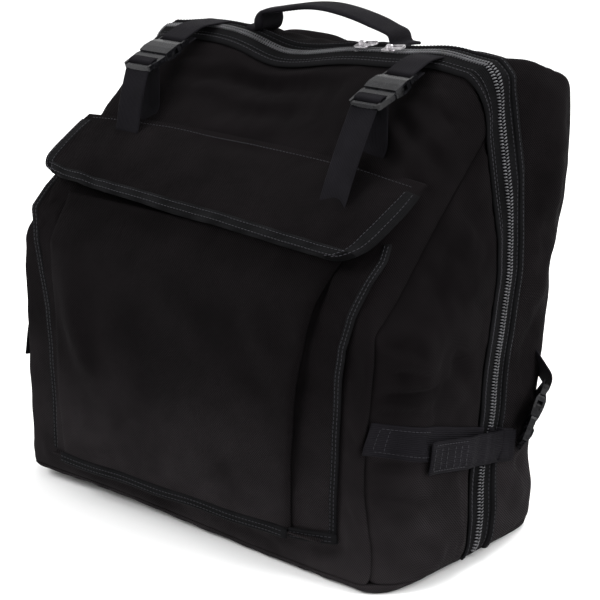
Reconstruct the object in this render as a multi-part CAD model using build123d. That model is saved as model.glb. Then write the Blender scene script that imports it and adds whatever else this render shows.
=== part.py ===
from build123d import *

import os
from math import atan2, cos, degrees, hypot, radians, sin

# Soft carrying case for a piano accordion: two padded shells closed by one zip over the sides
# and the top, a bellows pocket under a flap, four side-release buckles, a webbing handle and a
# pair of shoulder straps. Millimetres, +Z up, front towards -Y, origin at the centre of the base.

# ---- case body
case_width = 480.0
base_depth = 264.0
ridge_height = 505.0  # where slope and top would meet; the zip runs over the rounded ridge
knee_height = 305.0  # where the upright front turns into the slope
knee_radius = 60.0
ridge_radius = 45.0
back_overhang = 63.0  # the back leans out over the base
back_height = 458.0
back_top_radius = 30.0
back_swell = 7.0  # the filled back stands this much further out below its middle
back_swell_reach = 170.0  # all round its middle
back_swell_z = 190.0
foot_radius = 12.0
zip_foot = 166.0  # from the front face to the zip's plane, at the floor
zip_lean = 41.0  # further back at the ridge
top_corner_radius = 62.0
hip_bulge = 22.0  # the filled sides belly out near the floor
hip_height = 50.0
hip_radius = 60.0
waist_height = 190.0
waist_radius = 150.0
belly_radius = 80.0
chest_bulge = 24.0  # above the side straps they belly out again
chest_height = 300.0
chest_radius = 150.0
top_bulge = 10.0
rear_fullness = 18.0  # the sides stay full this far behind the zip's foot
bottom_corner_radius = 30.0
front_edge_radius = 8.0
slope_edge_radius = 36.0
back_edge_radius = 34.0
padding = 10.0
crossing = 0.3
side_seam_drop = 50.0  # the side panels stop this far below the slope

# ---- zip
coil_width = 5.0  # one half of the closed coil
coil_height = 3.0
coil_parting = 2.0  # between the halves, for the slider's wedge
tape_width = 13.0
tape_thickness = 2.5
welt_width = 3.0
welt_height = 2.0
hinge_gap = 0.8  # between the two floors
hinge_strip_width = 44.0

# ---- pocket and flap
pocket_width = 352.0
pocket_flare = 24.0  # the gussets spread to the case by this much each side
pocket_foot = 50.0
pocket_depth = 18.0
pocket_knee = 296.0
pocket_mouth_y = 20.0
pocket_mouth_z = 336.0
pocket_cloth = 3.0
pocket_binding = 11.0
pocket_binding_height = 4.0
flap_root_y = 95.0  # behind the front face
flap_root_rise = 6.2  # above the slope
flap_tip_y = 4.0
flap_tip_rise = 27.0  # above the knee
flap_root_width = 462.0
flap_tip_width = 420.0
flap_thickness = 4.0
flap_corner_radius = 22.0
binding_width = 9.0
binding_thickness = 6.0
seam_strip_depth = 9.0
seam_strip_height = 4.0

# ---- webbing and buckles
webbing_width = 32.0
webbing_thickness = 2.0
buckle_width = 42.0
buckle_thickness = 11.0
clearance = 0.4
running_gap = 0.3  # soft pieces on different bodies
ladder_length = 28.0
ladder_bar = 4.0
ladder_slot = 5.5
ladder_thickness = 6.0
socket_depth = 26.0
socket_wall = 2.0
female_bar_radius = 2.2
female_slot = 6.5
prong_length = 23.0
prong_thickness = 5.0
arm_width = 5.0

# ---- top straps
top_strap_x = 156.0
top_ladder_y = 91.0
top_ladder_rise = 71.1  # above the slope
top_hump_inset = 2.0  # ahead of the ridge, where the strap's line crests
top_anchor_run = 46.0
top_tail_reach = {"left": 70.0, "right": 110.0}
top_tail_angle = {"left": 74.0, "right": 61.0}

# ---- side straps
side_ladder = (271.3, 212.0, 104.0)  # x, y from the front face, z
side_lean = 6.0  # the buckle follows the filled side inwards as it rises
side_rise = 45.0
side_twist = 38.0
side_seam_z = 165.0
side_strap_gap = 12.0  # short of the ladder, where the real webbing turns up into it
side_tail_gap = 5.0
side_tail_sink = 6.6  # the tail starts this much closer to the fixed webbing
side_tail_end = (264.0, 75.0, 118.0)
side_standoff = 4.0

# ---- zip sliders
slider_length = 17.0
slider_width = 12.5
slider_plate = 1.6
slider_at = {"left": 62.0, "right": 98.0}
pull_length = 21.0
pull_width = 9.0
pull_wire = 2.0
pull_tilt = 8.0
wedge_length = 4.0
crown_length = 10.0
crown_thickness = 2.2
eye_radius = 1.8
eye_rim = 1.4

# ---- handle
handle_width = 34.0
handle_thickness = 4.0
handle_setback = 29.0  # behind the ridge
handle_left = -90.0
handle_right = 102.0
handle_apex_x = 6.0
handle_apex_rise = 38.4  # above the top of the case
handle_end_rise = 20.4
handle_root_depth = 36.0  # the legs are drawn from inside the case and cut off at its skin
handle_bend = 7.0

# ---- shoulder straps
shoulder_strap_x = 124.0
shoulder_strap_width = 92.0
shoulder_strap_thickness = 14.0
shoulder_strap_rise = 16.0
shoulder_root_inset = 15.0  # ahead of the back's top edge
shoulder_crest_gap = 23.0  # from the back's plane to the strap's middle
shoulder_arch_gap = 44.5
shoulder_arch_drop = 40.0
shoulder_waist_gap = 42.2
shoulder_waist_z = 260.0
shoulder_taper_z = 320.0  # the strap narrows and turns outwards below this
shoulder_foot_x = 168.0
shoulder_foot_gap = 25.4
shoulder_foot_z = 150.0
shoulder_bends = (20.0, 60.0, 160.0)
shoulder_webbing_anchor = 40.0

front_y = -base_depth / 2
rear_foot_y = base_depth / 2
rear_top_y = rear_foot_y + back_overhang
zip_foot_y = front_y + zip_foot
ridge_y = zip_foot_y + zip_lean
top_slope = (ridge_height - back_height) / (rear_top_y - ridge_y)  # falls towards the back
half_width = case_width / 2
hip_half = half_width + hip_bulge
chest_half = half_width + chest_bulge
top_half = half_width + top_bulge
front_slope = (ridge_height - knee_height) / (ridge_y - front_y)
slope_angle = degrees(atan2(front_slope, 1))
far = 2 * case_width

os.makedirs("parts", exist_ok=True)


def save(part, name):
    """Write one named piece."""
    export_step(Compound(children=part.solids()) if len(part.solids()) > 1 else part.solid(),
                f"parts/{name}.step")


def rounded(points, radii, depth=0.0):
    """A closed face with its own radius at each corner, drawn in on all sides by a depth.

    The corners run counter-clockwise; a negative depth makes the face grow.
    """
    corners, bends = [], []
    for i, (at, radius) in enumerate(zip(points, radii)):
        at = Vector(*at)
        arriving = (at - Vector(*points[i - 1])).normalized()
        leaving = (Vector(*points[(i + 1) % len(points)]) - at).normalized()
        inward = Vector(-arriving.Y - leaving.Y, arriving.X + leaving.X)
        corners.append(at + inward * (depth / (1 + arriving.dot(leaving))))
        convex = arriving.cross(leaving).Z > 0
        bends.append(max(radius - depth, 0) if convex else radius + depth * (radius > 0))
    return make_face(FilletPolyline(*corners, radius=bends, close=True))


def prism_x(points, low=-far, high=far):
    """Straight-sided block along X over a polygon of (y, z)."""
    face = make_face(Polyline(*points, close=True))
    return Plane.YZ.offset(low) * extrude(face, amount=high - low)


def upright_box(x0, x1, y0, y1, z0, z1):
    """A block between two corners."""
    return Pos((x0 + x1) / 2, (y0 + y1) / 2, (z0 + z1) / 2) * Box(x1 - x0, y1 - y0, z1 - z0)


def zip_y(z):
    """Where the zip's leaning plane stands at a height."""
    return zip_foot_y + zip_lean * z / ridge_height


def between_zip(start, end):
    """The slab from one distance to another behind the zip's plane."""
    low, high = -far, far
    return prism_x([(zip_y(low) + start, low), (zip_y(low) + end, low),
                    (zip_y(high) + end, high), (zip_y(high) + start, high)])


# ---------------------------------------------------------------- case volume
def case_volume(depth):
    """The filled outer form of the closed case, or a layer's boundary at a depth inside it.

    Five rounded outlines cross. Where two of them would share a flat side, the one that only
    rounds an edge stands off by the crossing.
    """
    side = rounded([(front_y, 0), (rear_foot_y, 0), (rear_top_y, back_height),
                    (ridge_y, ridge_height), (front_y, knee_height)],
                   [foot_radius, foot_radius, back_top_radius, ridge_radius, knee_radius], depth)
    outline = rounded([(-hip_half, -crossing), (hip_half, -crossing), (hip_half, hip_height),
                       (half_width, waist_height), (chest_half, chest_height),
                       (top_half, ridge_height), (-top_half, ridge_height),
                       (-chest_half, chest_height), (-half_width, waist_height),
                       (-hip_half, hip_height)],
                      [bottom_corner_radius, bottom_corner_radius, hip_radius, waist_radius,
                       chest_radius, top_corner_radius, top_corner_radius, chest_radius,
                       waist_radius, hip_radius], depth)
    slope_half = half_width + crossing
    slope_foot = slope_edge_radius + crossing
    slope = rounded([(-slope_half, -crossing), (slope_half, -crossing),
                     (slope_half, slope_foot), (far, slope_foot + 3 * (far - slope_half)),
                     (far, 2 * far), (-far, 2 * far),
                     (-far, slope_foot + 3 * (far - slope_half)), (-slope_half, slope_foot)],
                    [slope_edge_radius, slope_edge_radius, 0, 0, 0, 0, 0, 0], depth)
    front_half = half_width + 2 * crossing
    front_hip = hip_half + crossing
    front_plan = rounded([(-front_half, front_y - crossing), (front_half, front_y - crossing),
                          (front_hip, front_y + 3 * hip_bulge), (front_hip, far),
                          (-front_hip, far), (-front_hip, front_y + 3 * hip_bulge)],
                         [front_edge_radius, front_edge_radius, belly_radius, 0, 0,
                          belly_radius], depth)
    back_half = half_width + 3 * crossing
    back_hip = hip_half + 2 * crossing
    full_y = zip_foot_y + rear_fullness
    back_plan = rounded([(-back_hip, -far), (back_hip, -far), (back_hip, full_y),
                         (back_half, rear_foot_y + crossing), (-back_half, rear_foot_y + crossing),
                         (-back_hip, full_y)],
                        [0, 0, belly_radius, back_edge_radius, back_edge_radius,
                         belly_radius], depth)
    slope_plane = Plane(origin=(0, front_y, knee_height), x_dir=(1, 0, 0),
                        z_dir=(0, cos(radians(slope_angle)), sin(radians(slope_angle))))
    lean = Vector(0, back_overhang, back_height).normalized()
    volume = Plane.XZ * extrude(outline, amount=far, both=True)
    volume &= extrude(front_plan, amount=far, both=True)
    volume &= extrude(back_plan, amount=far, dir=lean, both=True)
    volume &= Plane.YZ * extrude(side, amount=far, both=True)
    volume &= slope_plane * extrude(slope, amount=far, both=True)
    return volume


outer = case_volume(0)
inner = case_volume(padding)
wall = outer - inner
zip_band = coil_width + tape_width
above_floor = upright_box(-far, far, -far, far, padding, far)
floor_slab = upright_box(-far, far, -far, far, -1, padding)

# ---------------------------------------------------------------- front shell
front_wall = (wall & between_zip(-far, -zip_band)) & above_floor
seam_line = ridge_height - side_seam_drop
side_region = prism_x([(front_y + padding, padding),
                       (front_y + padding,
                        knee_height - side_seam_drop + padding * front_slope),
                       (ridge_y, seam_line), (far, seam_line), (far, padding)])
side_panels = front_wall & side_region
right_half = upright_box(0, far, -far, far, -far, far)
save(side_panels & right_half, "side_panel_right")
save(side_panels - right_half, "side_panel_left")
save(front_wall - side_region, "front_panel")
save((wall & floor_slab) & between_zip(-far, -hinge_gap / 2), "bottom_panel")

# ---------------------------------------------------------------- rear shell
rear_wall = (wall & between_zip(zip_band, far)) & above_floor
back_skin = padding / cos(atan2(back_overhang, back_height))
back_region = prism_x([(rear_foot_y - back_skin, 0),
                       (rear_foot_y - back_skin + back_overhang * far / back_height, far),
                       (2 * far, far), (2 * far, 0)])
swell_plane = Plane(origin=(0, rear_foot_y + back_overhang * back_swell_z / back_height,
                            back_swell_z),
                    x_dir=(1, 0, 0), z_dir=(0, back_height, -back_overhang))
swell_radius = (back_swell_reach ** 2 + back_swell ** 2) / (2 * back_swell)
swell = Pos(0, 0, back_swell - swell_radius) * Sphere(swell_radius)
swell -= Pos(0, 0, -crossing - swell_radius) * Box(*[2 * swell_radius] * 3)
save((rear_wall & back_region) + swell_plane * swell, "back_panel")
save(rear_wall - back_region, "rear_gusset")
save((wall & floor_slab) & between_zip(hinge_gap / 2, far), "rear_bottom_panel")

# Fabric hinge: a strip sewn to the front floor that covers the joint from inside.
hinge_strip = upright_box(-half_width + 3 * padding, half_width - 3 * padding,
                          zip_foot_y - hinge_strip_width / 2, zip_foot_y + hinge_strip_width / 2,
                          padding, padding + webbing_thickness)
hinge_lap = upright_box(-half_width, half_width, zip_foot_y - hinge_gap, far,
                        0, padding + clearance)
save(hinge_strip - hinge_lap, "floor_hinge_strip")

# ---------------------------------------------------------------- zip round the case
tape_ring = (outer - case_volume(tape_thickness)) & above_floor
coil_ring = (case_volume(tape_thickness / 2 - coil_height / 2)
             - case_volume(tape_thickness / 2 + coil_height / 2)) & above_floor
welt_ring = (case_volume(-welt_height) - outer) & above_floor
zip_pieces = {}
for shell, side in (("front", -1), ("rear", 1)):
    for piece, ring, near, away in (("tape", tape_ring, coil_width, zip_band),
                                    ("coil", coil_ring, coil_parting / 2, coil_width),
                                    ("welt", welt_ring, zip_band, zip_band + welt_width)):
        name = f"{shell}_zip_{piece}"
        zip_pieces[name] = ring & between_zip(*sorted((side * near, side * away)))
        save(zip_pieces[name], name)


# ---------------------------------------------------------------- pocket
def pocket_volume(depth):
    """The pocket's filled form in front of the case, or its inside face at a depth."""
    profile = make_face(Polyline(
        (far, pocket_foot + depth), (front_y - pocket_depth + depth, pocket_foot + depth),
        (front_y - pocket_depth + depth, pocket_knee),
        (front_y + pocket_mouth_y, pocket_mouth_z - depth),
        (front_y + pocket_mouth_y, pocket_mouth_z + 1), (far, pocket_mouth_z + 1), close=True))
    plan = make_face(Polyline(
        (-pocket_width / 2 + depth, front_y - pocket_depth - 1),
        (pocket_width / 2 - depth, front_y - pocket_depth - 1),
        (pocket_width / 2 - depth, front_y - pocket_depth),
        (pocket_width / 2 + pocket_flare - depth, front_y),
        (pocket_width / 2 + pocket_flare - depth, far),
        (-pocket_width / 2 - pocket_flare + depth, far),
        (-pocket_width / 2 - pocket_flare + depth, front_y),
        (-pocket_width / 2 + depth, front_y - pocket_depth), close=True))
    volume = Plane.YZ * extrude(profile, amount=far, both=True)
    volume &= extrude(plan, amount=far)
    volume &= upright_box(-far, far, -far, front_y + pocket_mouth_y, 0, pocket_mouth_z)
    return volume - outer


pocket_skin = pocket_volume(0) - pocket_volume(pocket_cloth)
pocket_face = upright_box(-pocket_width / 2, pocket_width / 2, -far, far,
                          pocket_foot + pocket_cloth, far)
pocket_floor = upright_box(-far, far, -far, far, 0, pocket_foot + pocket_cloth)
save(pocket_skin & pocket_face, "pocket_panel")
save(pocket_skin & pocket_floor, "pocket_floor_gusset")
pocket_sides = pocket_skin - pocket_face - pocket_floor
save(pocket_sides & right_half, "pocket_gusset_right")
save(pocket_sides - right_half, "pocket_gusset_left")

binding_half = pocket_width / 2 + pocket_flare
binding_top = knee_height - side_seam_drop / 2
binding_frame = upright_box(-binding_half - pocket_binding, binding_half + pocket_binding,
                            front_y - pocket_binding_height, front_y,
                            pocket_foot - pocket_binding, binding_top)
binding_frame -= upright_box(-binding_half, binding_half, -far, far, pocket_foot, far)
save(binding_frame - outer, "pocket_binding")

# ---------------------------------------------------------------- flap
slope_at_root = knee_height + flap_root_y * front_slope
flap_root_z = slope_at_root + flap_root_rise
flap_tilt = atan2(flap_root_z - knee_height - flap_tip_rise, flap_root_y - flap_tip_y)
flap_length = (flap_root_y - flap_tip_y) / cos(flap_tilt)
flap_plane = Plane(origin=(0, front_y + flap_root_y, flap_root_z), x_dir=(1, 0, 0),
                   z_dir=(0, -sin(flap_tilt), cos(flap_tilt)))


def flap_outline(border):
    """The flap's outline on its own plane, drawn in by a border on its three free edges."""
    taper = border * (flap_root_width - flap_tip_width) / 2 / flap_length
    root = flap_root_width / 2 - border
    tip = flap_tip_width / 2 - border + taper
    corner = flap_corner_radius - border
    return rounded([(-root, 0), (-tip, -flap_length + border), (tip, -flap_length + border),
                    (root, 0)], [0, corner, corner, 0])


flap_sheet = Pos(0, 0, -flap_thickness) * extrude(flap_outline(binding_width),
                                                  amount=flap_thickness)
flap_rim = flap_outline(0) - flap_outline(binding_width)
flap_rim = Pos(0, 0, -(flap_thickness + binding_thickness) / 2) * extrude(
    flap_rim, amount=binding_thickness)
save(flap_plane * flap_sheet, "pocket_flap")
save(flap_plane * flap_rim, "pocket_flap_binding")

# The seam that the flap hangs from lies on the slope, with the fixed webbing sewn into it.
seam_plane = Plane(origin=(0, front_y + flap_root_y, slope_at_root), x_dir=(1, 0, 0),
                   z_dir=(0, -sin(radians(slope_angle)), cos(radians(slope_angle))))
seam_strip = Pos(0, running_gap + flap_thickness + seam_strip_depth / 2,
                 seam_strip_height / 2) * Box(
    flap_root_width - 2 * slope_edge_radius, seam_strip_depth, seam_strip_height)
save(seam_plane * seam_strip, "flap_seam_strip")


# ---------------------------------------------------------------- webbing
def ribbon(points, radii, width, thickness, plane):
    """Webbing that follows a bent line drawn on a plane, as wide as given across it."""
    line = FilletPolyline(*points, radius=radii) if len(points) > 2 else Polyline(*points)
    face = trace(line, line_width=thickness)
    return plane * extrude(face, amount=width / 2, both=True)


# ---------------------------------------------------------------- side-release buckle
# Drawn with the mouth of the socket at x = 0, the socket towards +X and the ladder towards -X.
ladder_start = -ladder_length
outer_bar_x = ladder_start + ladder_bar / 2
outer_slot_x = outer_bar_x + (ladder_bar + ladder_slot) / 2
middle_bar_x = outer_slot_x + (ladder_bar + ladder_slot) / 2
inner_slot_x = middle_bar_x + (ladder_bar + ladder_slot) / 2
socket_end = socket_depth + socket_wall
female_bar_x = socket_end + female_slot - 0.5 + female_bar_radius
slot_width = webbing_width + 2 * clearance
bar_reach = hypot(ladder_bar / 2, ladder_thickness / 2) + running_gap


def ladder_frame():
    """Flat frame with two slots for the webbing; the bars are lower than the cheeks."""
    half = buckle_width / 2
    frame = rounded([(ladder_start, half - 2), (ladder_start, -half + 2), (-4, -half),
                     (0, -half + 1.5), (0, half - 1.5), (-4, half)], [3, 3, 2, 1, 1, 2])
    for slot_x in (outer_slot_x, inner_slot_x):
        frame -= Pos(slot_x, 0) * Rectangle(ladder_slot, slot_width)
    ladder = extrude(frame, amount=ladder_thickness / 2, both=True)
    for bar_x in (outer_bar_x, middle_bar_x):
        ladder -= Pos(bar_x, 0, ladder_thickness / 2) * Box(
            ladder_bar, slot_width, ladder_thickness / 3)
    return ladder


def male_clip():
    """Ladder frame with two cross bars, a centre blade and two sprung side arms."""
    half = buckle_width / 2
    clip = ladder_frame()
    blade = extrude(rounded([(-1, 3.5), (-1, -3.5), (prong_length - 4, -2.6),
                             (prong_length - 4, 2.6)], [0, 0, 1.5, 1.5]),
                    amount=prong_thickness / 4, both=True)
    arm_root = half - 9.5
    barb = half - 2.6
    arm = make_face(Polyline((-1, arm_root), (4, arm_root + 0.5), (12, barb - arm_width - 1),
                             (prong_length, barb - arm_width - 3.2),
                             (prong_length - 2, barb - 4.6), (socket_depth * 0.62, barb - 1),
                             (socket_depth * 0.5, barb), (8, barb - 0.6),
                             (3, arm_root + arm_width - 0.5),
                             (-1, arm_root + arm_width), close=True))
    arm = extrude(arm, amount=prong_thickness / 2, both=True)
    return clip + blade + arm + mirror(arm, about=Plane.XZ)


def female_clip():
    """Tapered socket with a window on each edge and a round webbing bar behind it."""
    half = buckle_width / 2
    body = rounded([(0, half - 1), (0, -half + 1), (9, -half), (socket_end - 5, -half + 1.5),
                    (socket_end, -half + 4), (socket_end, half - 4),
                    (socket_end - 5, half - 1.5), (9, half)], [1, 1, 6, 4, 3, 3, 4, 6])
    shell = extrude(body, amount=buckle_thickness / 2, both=True)
    thick = buckle_thickness / 2
    crown = Plane.XZ * extrude(rounded(
        [(-1, thick - 1), (-1, 1 - thick), (10, -thick), (socket_end - 8, -thick),
         (socket_end + 1, 2.5 - thick), (socket_end + 1, thick - 2.5),
         (socket_end - 8, thick), (10, thick)],
        [0, 0, 12, 14, 0, 0, 14, 12]), amount=half + 1, both=True)
    shell &= crown
    mouth_half = half - socket_wall - 0.2
    cavity = Pos(socket_depth / 2 - 0.5, 0) * Box(
        socket_depth + 1, 2 * mouth_half, prong_thickness + 2 * clearance)
    window_start = 7.0
    window_length = 11.0
    windows = Pos(window_start + window_length / 2, 0) * Box(
        window_length, 2 * buckle_width, prong_thickness + 2 * clearance)
    shell -= cavity
    shell -= windows
    cheek = half - 5.5
    ears = extrude(rounded([(socket_end - 2, cheek + 3), (socket_end - 2, -cheek - 3),
                            (female_bar_x + 3, -cheek - 2), (female_bar_x + 3, cheek + 2)],
                           [0, 0, 2.5, 2.5]), amount=3, both=True)
    ears -= Pos(female_bar_x, 0) * Box(2 * (female_bar_x - socket_end), slot_width, far)
    bar = Pos(female_bar_x, 0) * Rot(90, 0, 0) * Cylinder(female_bar_radius, slot_width + 4)
    return shell + ears + bar


top_ladder_z = knee_height + top_ladder_y * front_slope + top_ladder_rise
strap_tilt = atan2(ridge_height - top_ladder_z,
                   ridge_y - front_y - top_hump_inset - top_ladder_y)


def top_point(along, height):
    """(y, z) of a point of the top strap's line, from the mouth of its buckle."""
    run = ladder_length + along
    return (front_y + top_ladder_y + run * cos(strap_tilt) - height * sin(strap_tilt),
            top_ladder_z + run * sin(strap_tilt) + height * cos(strap_tilt))


top_mouth = top_point(0, 0)
top_buckle = Plane(origin=(top_strap_x, *top_mouth), x_dir=(0, cos(strap_tilt), sin(strap_tilt)),
                   z_dir=(0, -sin(strap_tilt), cos(strap_tilt)))
strap_side = Plane(origin=(top_strap_x, 0, 0), x_dir=(0, 1, 0), z_dir=(1, 0, 0))
side_along = Vector(0, cos(radians(side_rise)), sin(radians(side_rise)))
side_out = Vector(1, 0, 0)
side_axis = side_along * cos(radians(side_lean)) - side_out * sin(radians(side_lean))
side_normal = side_out * cos(radians(side_lean)) + side_along * sin(radians(side_lean))
side_normal = side_normal.rotate(Axis((0, 0, 0), side_axis), side_twist)
side_mouth = (Vector(side_ladder[0], front_y + side_ladder[1], side_ladder[2])
              + side_axis * ladder_length)
side_buckle = Plane(origin=side_mouth, x_dir=side_axis, z_dir=side_normal)

# Loop round the middle bar of the ladder, in at the inner slot and out at the outer one.
wrap_height = ladder_thickness / 2 + clearance + webbing_thickness / 2
wrap_line = [(inner_slot_x, -wrap_height), (inner_slot_x, wrap_height),
             (outer_slot_x, wrap_height), (outer_slot_x, -wrap_height)]
buckle_section = Plane(origin=(0, 0, 0), x_dir=(1, 0, 0), z_dir=(0, -1, 0))
ladder_wrap = ribbon(wrap_line, [2.5, 2.5], webbing_width, webbing_thickness, buckle_section)

# Loop round the socket's bar, sewn back on itself.
loop_radius = female_bar_radius + clearance + webbing_thickness / 2
loop_run = 15.0


def top_strap_upper():
    """From the socket's bar over the zip to its seam on the rear shell's top."""
    lift = webbing_thickness / 2 + 0.1
    landing = ridge_y + 22.0
    surface = ridge_height + lift - (landing - ridge_y) * top_slope
    end_y = landing + top_anchor_run
    end_z = surface - top_anchor_run * top_slope
    crest = top_point(socket_end + 2, loop_radius)
    line = [top_point(female_bar_x + loop_run, -loop_radius),
            top_point(female_bar_x - loop_radius, -loop_radius),
            top_point(female_bar_x - loop_radius, loop_radius),
            top_point((ridge_y - front_y - top_ladder_y) / cos(strap_tilt) - ladder_length,
                      loop_radius),
            (landing, surface), (end_y, end_z)]
    bend = loop_radius * 0.95
    strap = ribbon(line, [bend, bend, 12, 12], webbing_width, webbing_thickness, strap_side)
    return strap - outer - zip_pieces["rear_zip_welt"]


def top_strap_lower():
    """From the flap's seam up to the ladder's inner slot."""
    top = top_point(inner_slot_x, -wrap_height - running_gap - webbing_thickness / 2)
    foot = (front_y + flap_root_y + 9, slope_at_root + 12 + seam_strip_height)
    return ribbon([foot, top], [], webbing_width, webbing_thickness, strap_side)


def top_strap_tail(side):
    """Loose end that hangs in front of the ladder's outer bar and swings round it."""
    bar_y, bar_z = top_point(outer_bar_x, 0)
    fall = radians(top_tail_angle[side])
    line = [(bar_y - reach * cos(fall), bar_z - reach * sin(fall))
            for reach in (bar_reach, top_tail_reach[side])]
    return ribbon(line, [], webbing_width, webbing_thickness, strap_side)


def side_plane(start, end):
    """Plane of a strap's edge line: x from start to end, y away from the case's side."""
    along = (Vector(*end) - Vector(*start)).normalized()
    across = along.cross(Vector(1, 0, 0)).normalized()
    return Plane(origin=start, x_dir=along, z_dir=across)


def side_strap_front():
    """From the front seam along the side and across the zip towards the ladder."""
    start = Vector(half_width, front_y + padding + 2, side_seam_z)
    slot = side_mouth + side_axis * ladder_start
    end = Vector(hip_half - side_standoff, slot.Y, slot.Z)
    run = (end - start).length - side_strap_gap
    plane = side_plane(start, end)
    strap = ribbon([(-6, -2), (10, side_standoff + 3), (run, side_standoff)],
                   [8], webbing_width, webbing_thickness, plane)
    return strap - outer - zip_pieces["front_zip_welt"] - zip_pieces["rear_zip_welt"]


def side_strap_tail():
    """Loose end that stands off the side, from the ladder forwards."""
    start = side_mouth + side_axis * ladder_start
    end = Vector(side_tail_end[0], front_y + side_tail_end[1], side_tail_end[2])
    length = (end - start).length
    return ribbon([(side_tail_gap + buckle_width / 2, -side_tail_sink), (length, 0)], [],
                  webbing_width, webbing_thickness, side_plane(start, end))


def side_strap_rear():
    """From the socket's bar back to the seam along the edge of the back."""
    line = [(female_bar_x + 7, -loop_radius), (female_bar_x - loop_radius, -loop_radius),
            (female_bar_x - loop_radius, loop_radius), (female_bar_x + 14, loop_radius),
            (female_bar_x + 49, -loop_radius - 40.3)]
    bend = loop_radius * 0.95
    strap = ribbon(line, [bend, bend, 8], webbing_width, webbing_thickness, buckle_section)
    return side_buckle * strap - outer


male = male_clip()
female = female_clip()
for side in ("left", "right"):
    def placed(part):
        """The piece on this side of the case."""
        return part if side == "right" else mirror(part, about=Plane.YZ)

    save(placed(top_buckle * male), f"top_male_clip_{side}")
    save(placed(top_buckle * female), f"top_female_clip_{side}")
    save(placed(top_buckle * ladder_wrap), f"top_strap_wrap_{side}")
    save(placed(top_strap_upper()), f"top_strap_upper_{side}")
    save(placed(top_strap_lower()), f"top_strap_lower_{side}")
    save(placed(top_strap_tail(side)), f"top_strap_tail_{side}")
    save(placed(side_buckle * male), f"side_male_clip_{side}")
    save(placed(side_buckle * female), f"side_female_clip_{side}")
    save(placed(side_buckle * ladder_wrap), f"side_strap_wrap_{side}")
    save(placed(side_strap_front()), f"side_strap_front_{side}")
    save(placed(side_strap_tail()), f"side_strap_tail_{side}")
    save(placed(side_strap_rear()), f"side_strap_rear_{side}")


# ---------------------------------------------------------------- handle
def carry_handle():
    """Webbing loop sewn to the rear shell's top at both ends."""
    line = [(handle_left, -handle_root_depth), (handle_left, handle_end_rise),
            (handle_apex_x, handle_apex_rise), (handle_right, handle_end_rise),
            (handle_right, -handle_root_depth)]
    plane = Plane(origin=(0, ridge_y + handle_setback, ridge_height - handle_setback * top_slope),
                  x_dir=(1, 0, 0), z_dir=(0, -1, 0))
    loop = ribbon(line, [handle_bend, 4 * handle_bend, handle_bend], handle_width,
                  handle_thickness, plane)
    return loop - outer - zip_pieces["rear_zip_welt"]


save(carry_handle(), "carry_handle")


# ---------------------------------------------------------------- zip sliders
plate_level = coil_height / 2 + clearance
crown_eye = plate_level + slider_plate + pull_wire / 2 + clearance


def zip_slider():
    """Two plates joined by a wedge between the coils, with a crown for the pull."""
    plate = rounded([(-slider_length / 2, -slider_width / 2), (slider_length / 2, -4),
                     (slider_length / 2, 4), (-slider_length / 2, slider_width / 2)],
                    [2, 2, 2, 2])
    slider = Pos(0, 0, plate_level) * extrude(plate, amount=slider_plate)
    slider += Pos(0, 0, -plate_level - slider_plate) * extrude(plate, amount=slider_plate)
    slider += Pos(slider_length / 2 - wedge_length) * Box(wedge_length, coil_parting / 2,
                                                          2 * plate_level + slider_plate)
    crown_half = crown_length / 2
    crown_top = crown_eye + eye_radius + eye_rim
    crown_root = plate_level + slider_plate / 2
    crown = Plane.XZ * extrude(rounded(
        [(-crown_half, crown_root), (crown_half, crown_root),
         (crown_half - eye_rim, crown_top), (eye_rim - crown_half, crown_top)],
        [0, 0, eye_radius, eye_radius]), amount=crown_thickness / 2, both=True)
    crown -= Pos(0, 0, crown_eye) * Rot(90, 0, 0) * Cylinder(eye_radius, far)
    return slider + crown


def slider_pull():
    """Flat ring that swings in the slider's crown."""
    ring = SlotOverall(pull_length, pull_width) - SlotOverall(
        pull_length - 2 * pull_wire, pull_width - 2 * pull_wire)
    ring = Pos(pull_length / 2 - pull_wire / 2, 0) * extrude(ring, amount=pull_wire / 2, both=True)
    return ring


def ridge_frame(x):
    """The zip's place on the rounded ridge: x along the zip, z away from the case."""
    top_angle = degrees(atan2(top_slope, 1))
    half_turn = radians(slope_angle + top_angle) / 2
    bisector = radians(90 + (slope_angle - top_angle) / 2)
    reach = ridge_radius / cos(half_turn)
    centre_y = ridge_y - reach * cos(bisector)
    centre_z = ridge_height - reach * sin(bisector)
    coil_radius = ridge_radius - tape_thickness / 2
    outward = Vector(0, cos(bisector), sin(bisector))
    for _ in range(4):
        crest_z = centre_z + coil_radius * outward.Z
        outward = Vector(0, zip_y(crest_z) - centre_y, crest_z - centre_z).normalized()
    origin = Vector(x, centre_y, centre_z) + outward * coil_radius
    return Plane(origin=origin, x_dir=(1, 0, 0), z_dir=outward)


for side, at in slider_at.items():
    save(ridge_frame(at) * zip_slider(), f"zip_slider_{side}")
    save(ridge_frame(at) * Pos(0, 0, crown_eye) * Rot(0, -pull_tilt, 0) * slider_pull(),
         f"zip_pull_{side}")


# ---------------------------------------------------------------- shoulder straps
def off_back(z, gap):
    """A point at a height and a distance behind the leaning back, as (y, z)."""
    return rear_foot_y + back_overhang * z / back_height + gap, z


arch = off_back(back_height - shoulder_arch_drop, shoulder_arch_gap)
waist = off_back(shoulder_waist_z, shoulder_waist_gap)
foot = off_back(shoulder_foot_z, shoulder_foot_gap)


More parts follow.
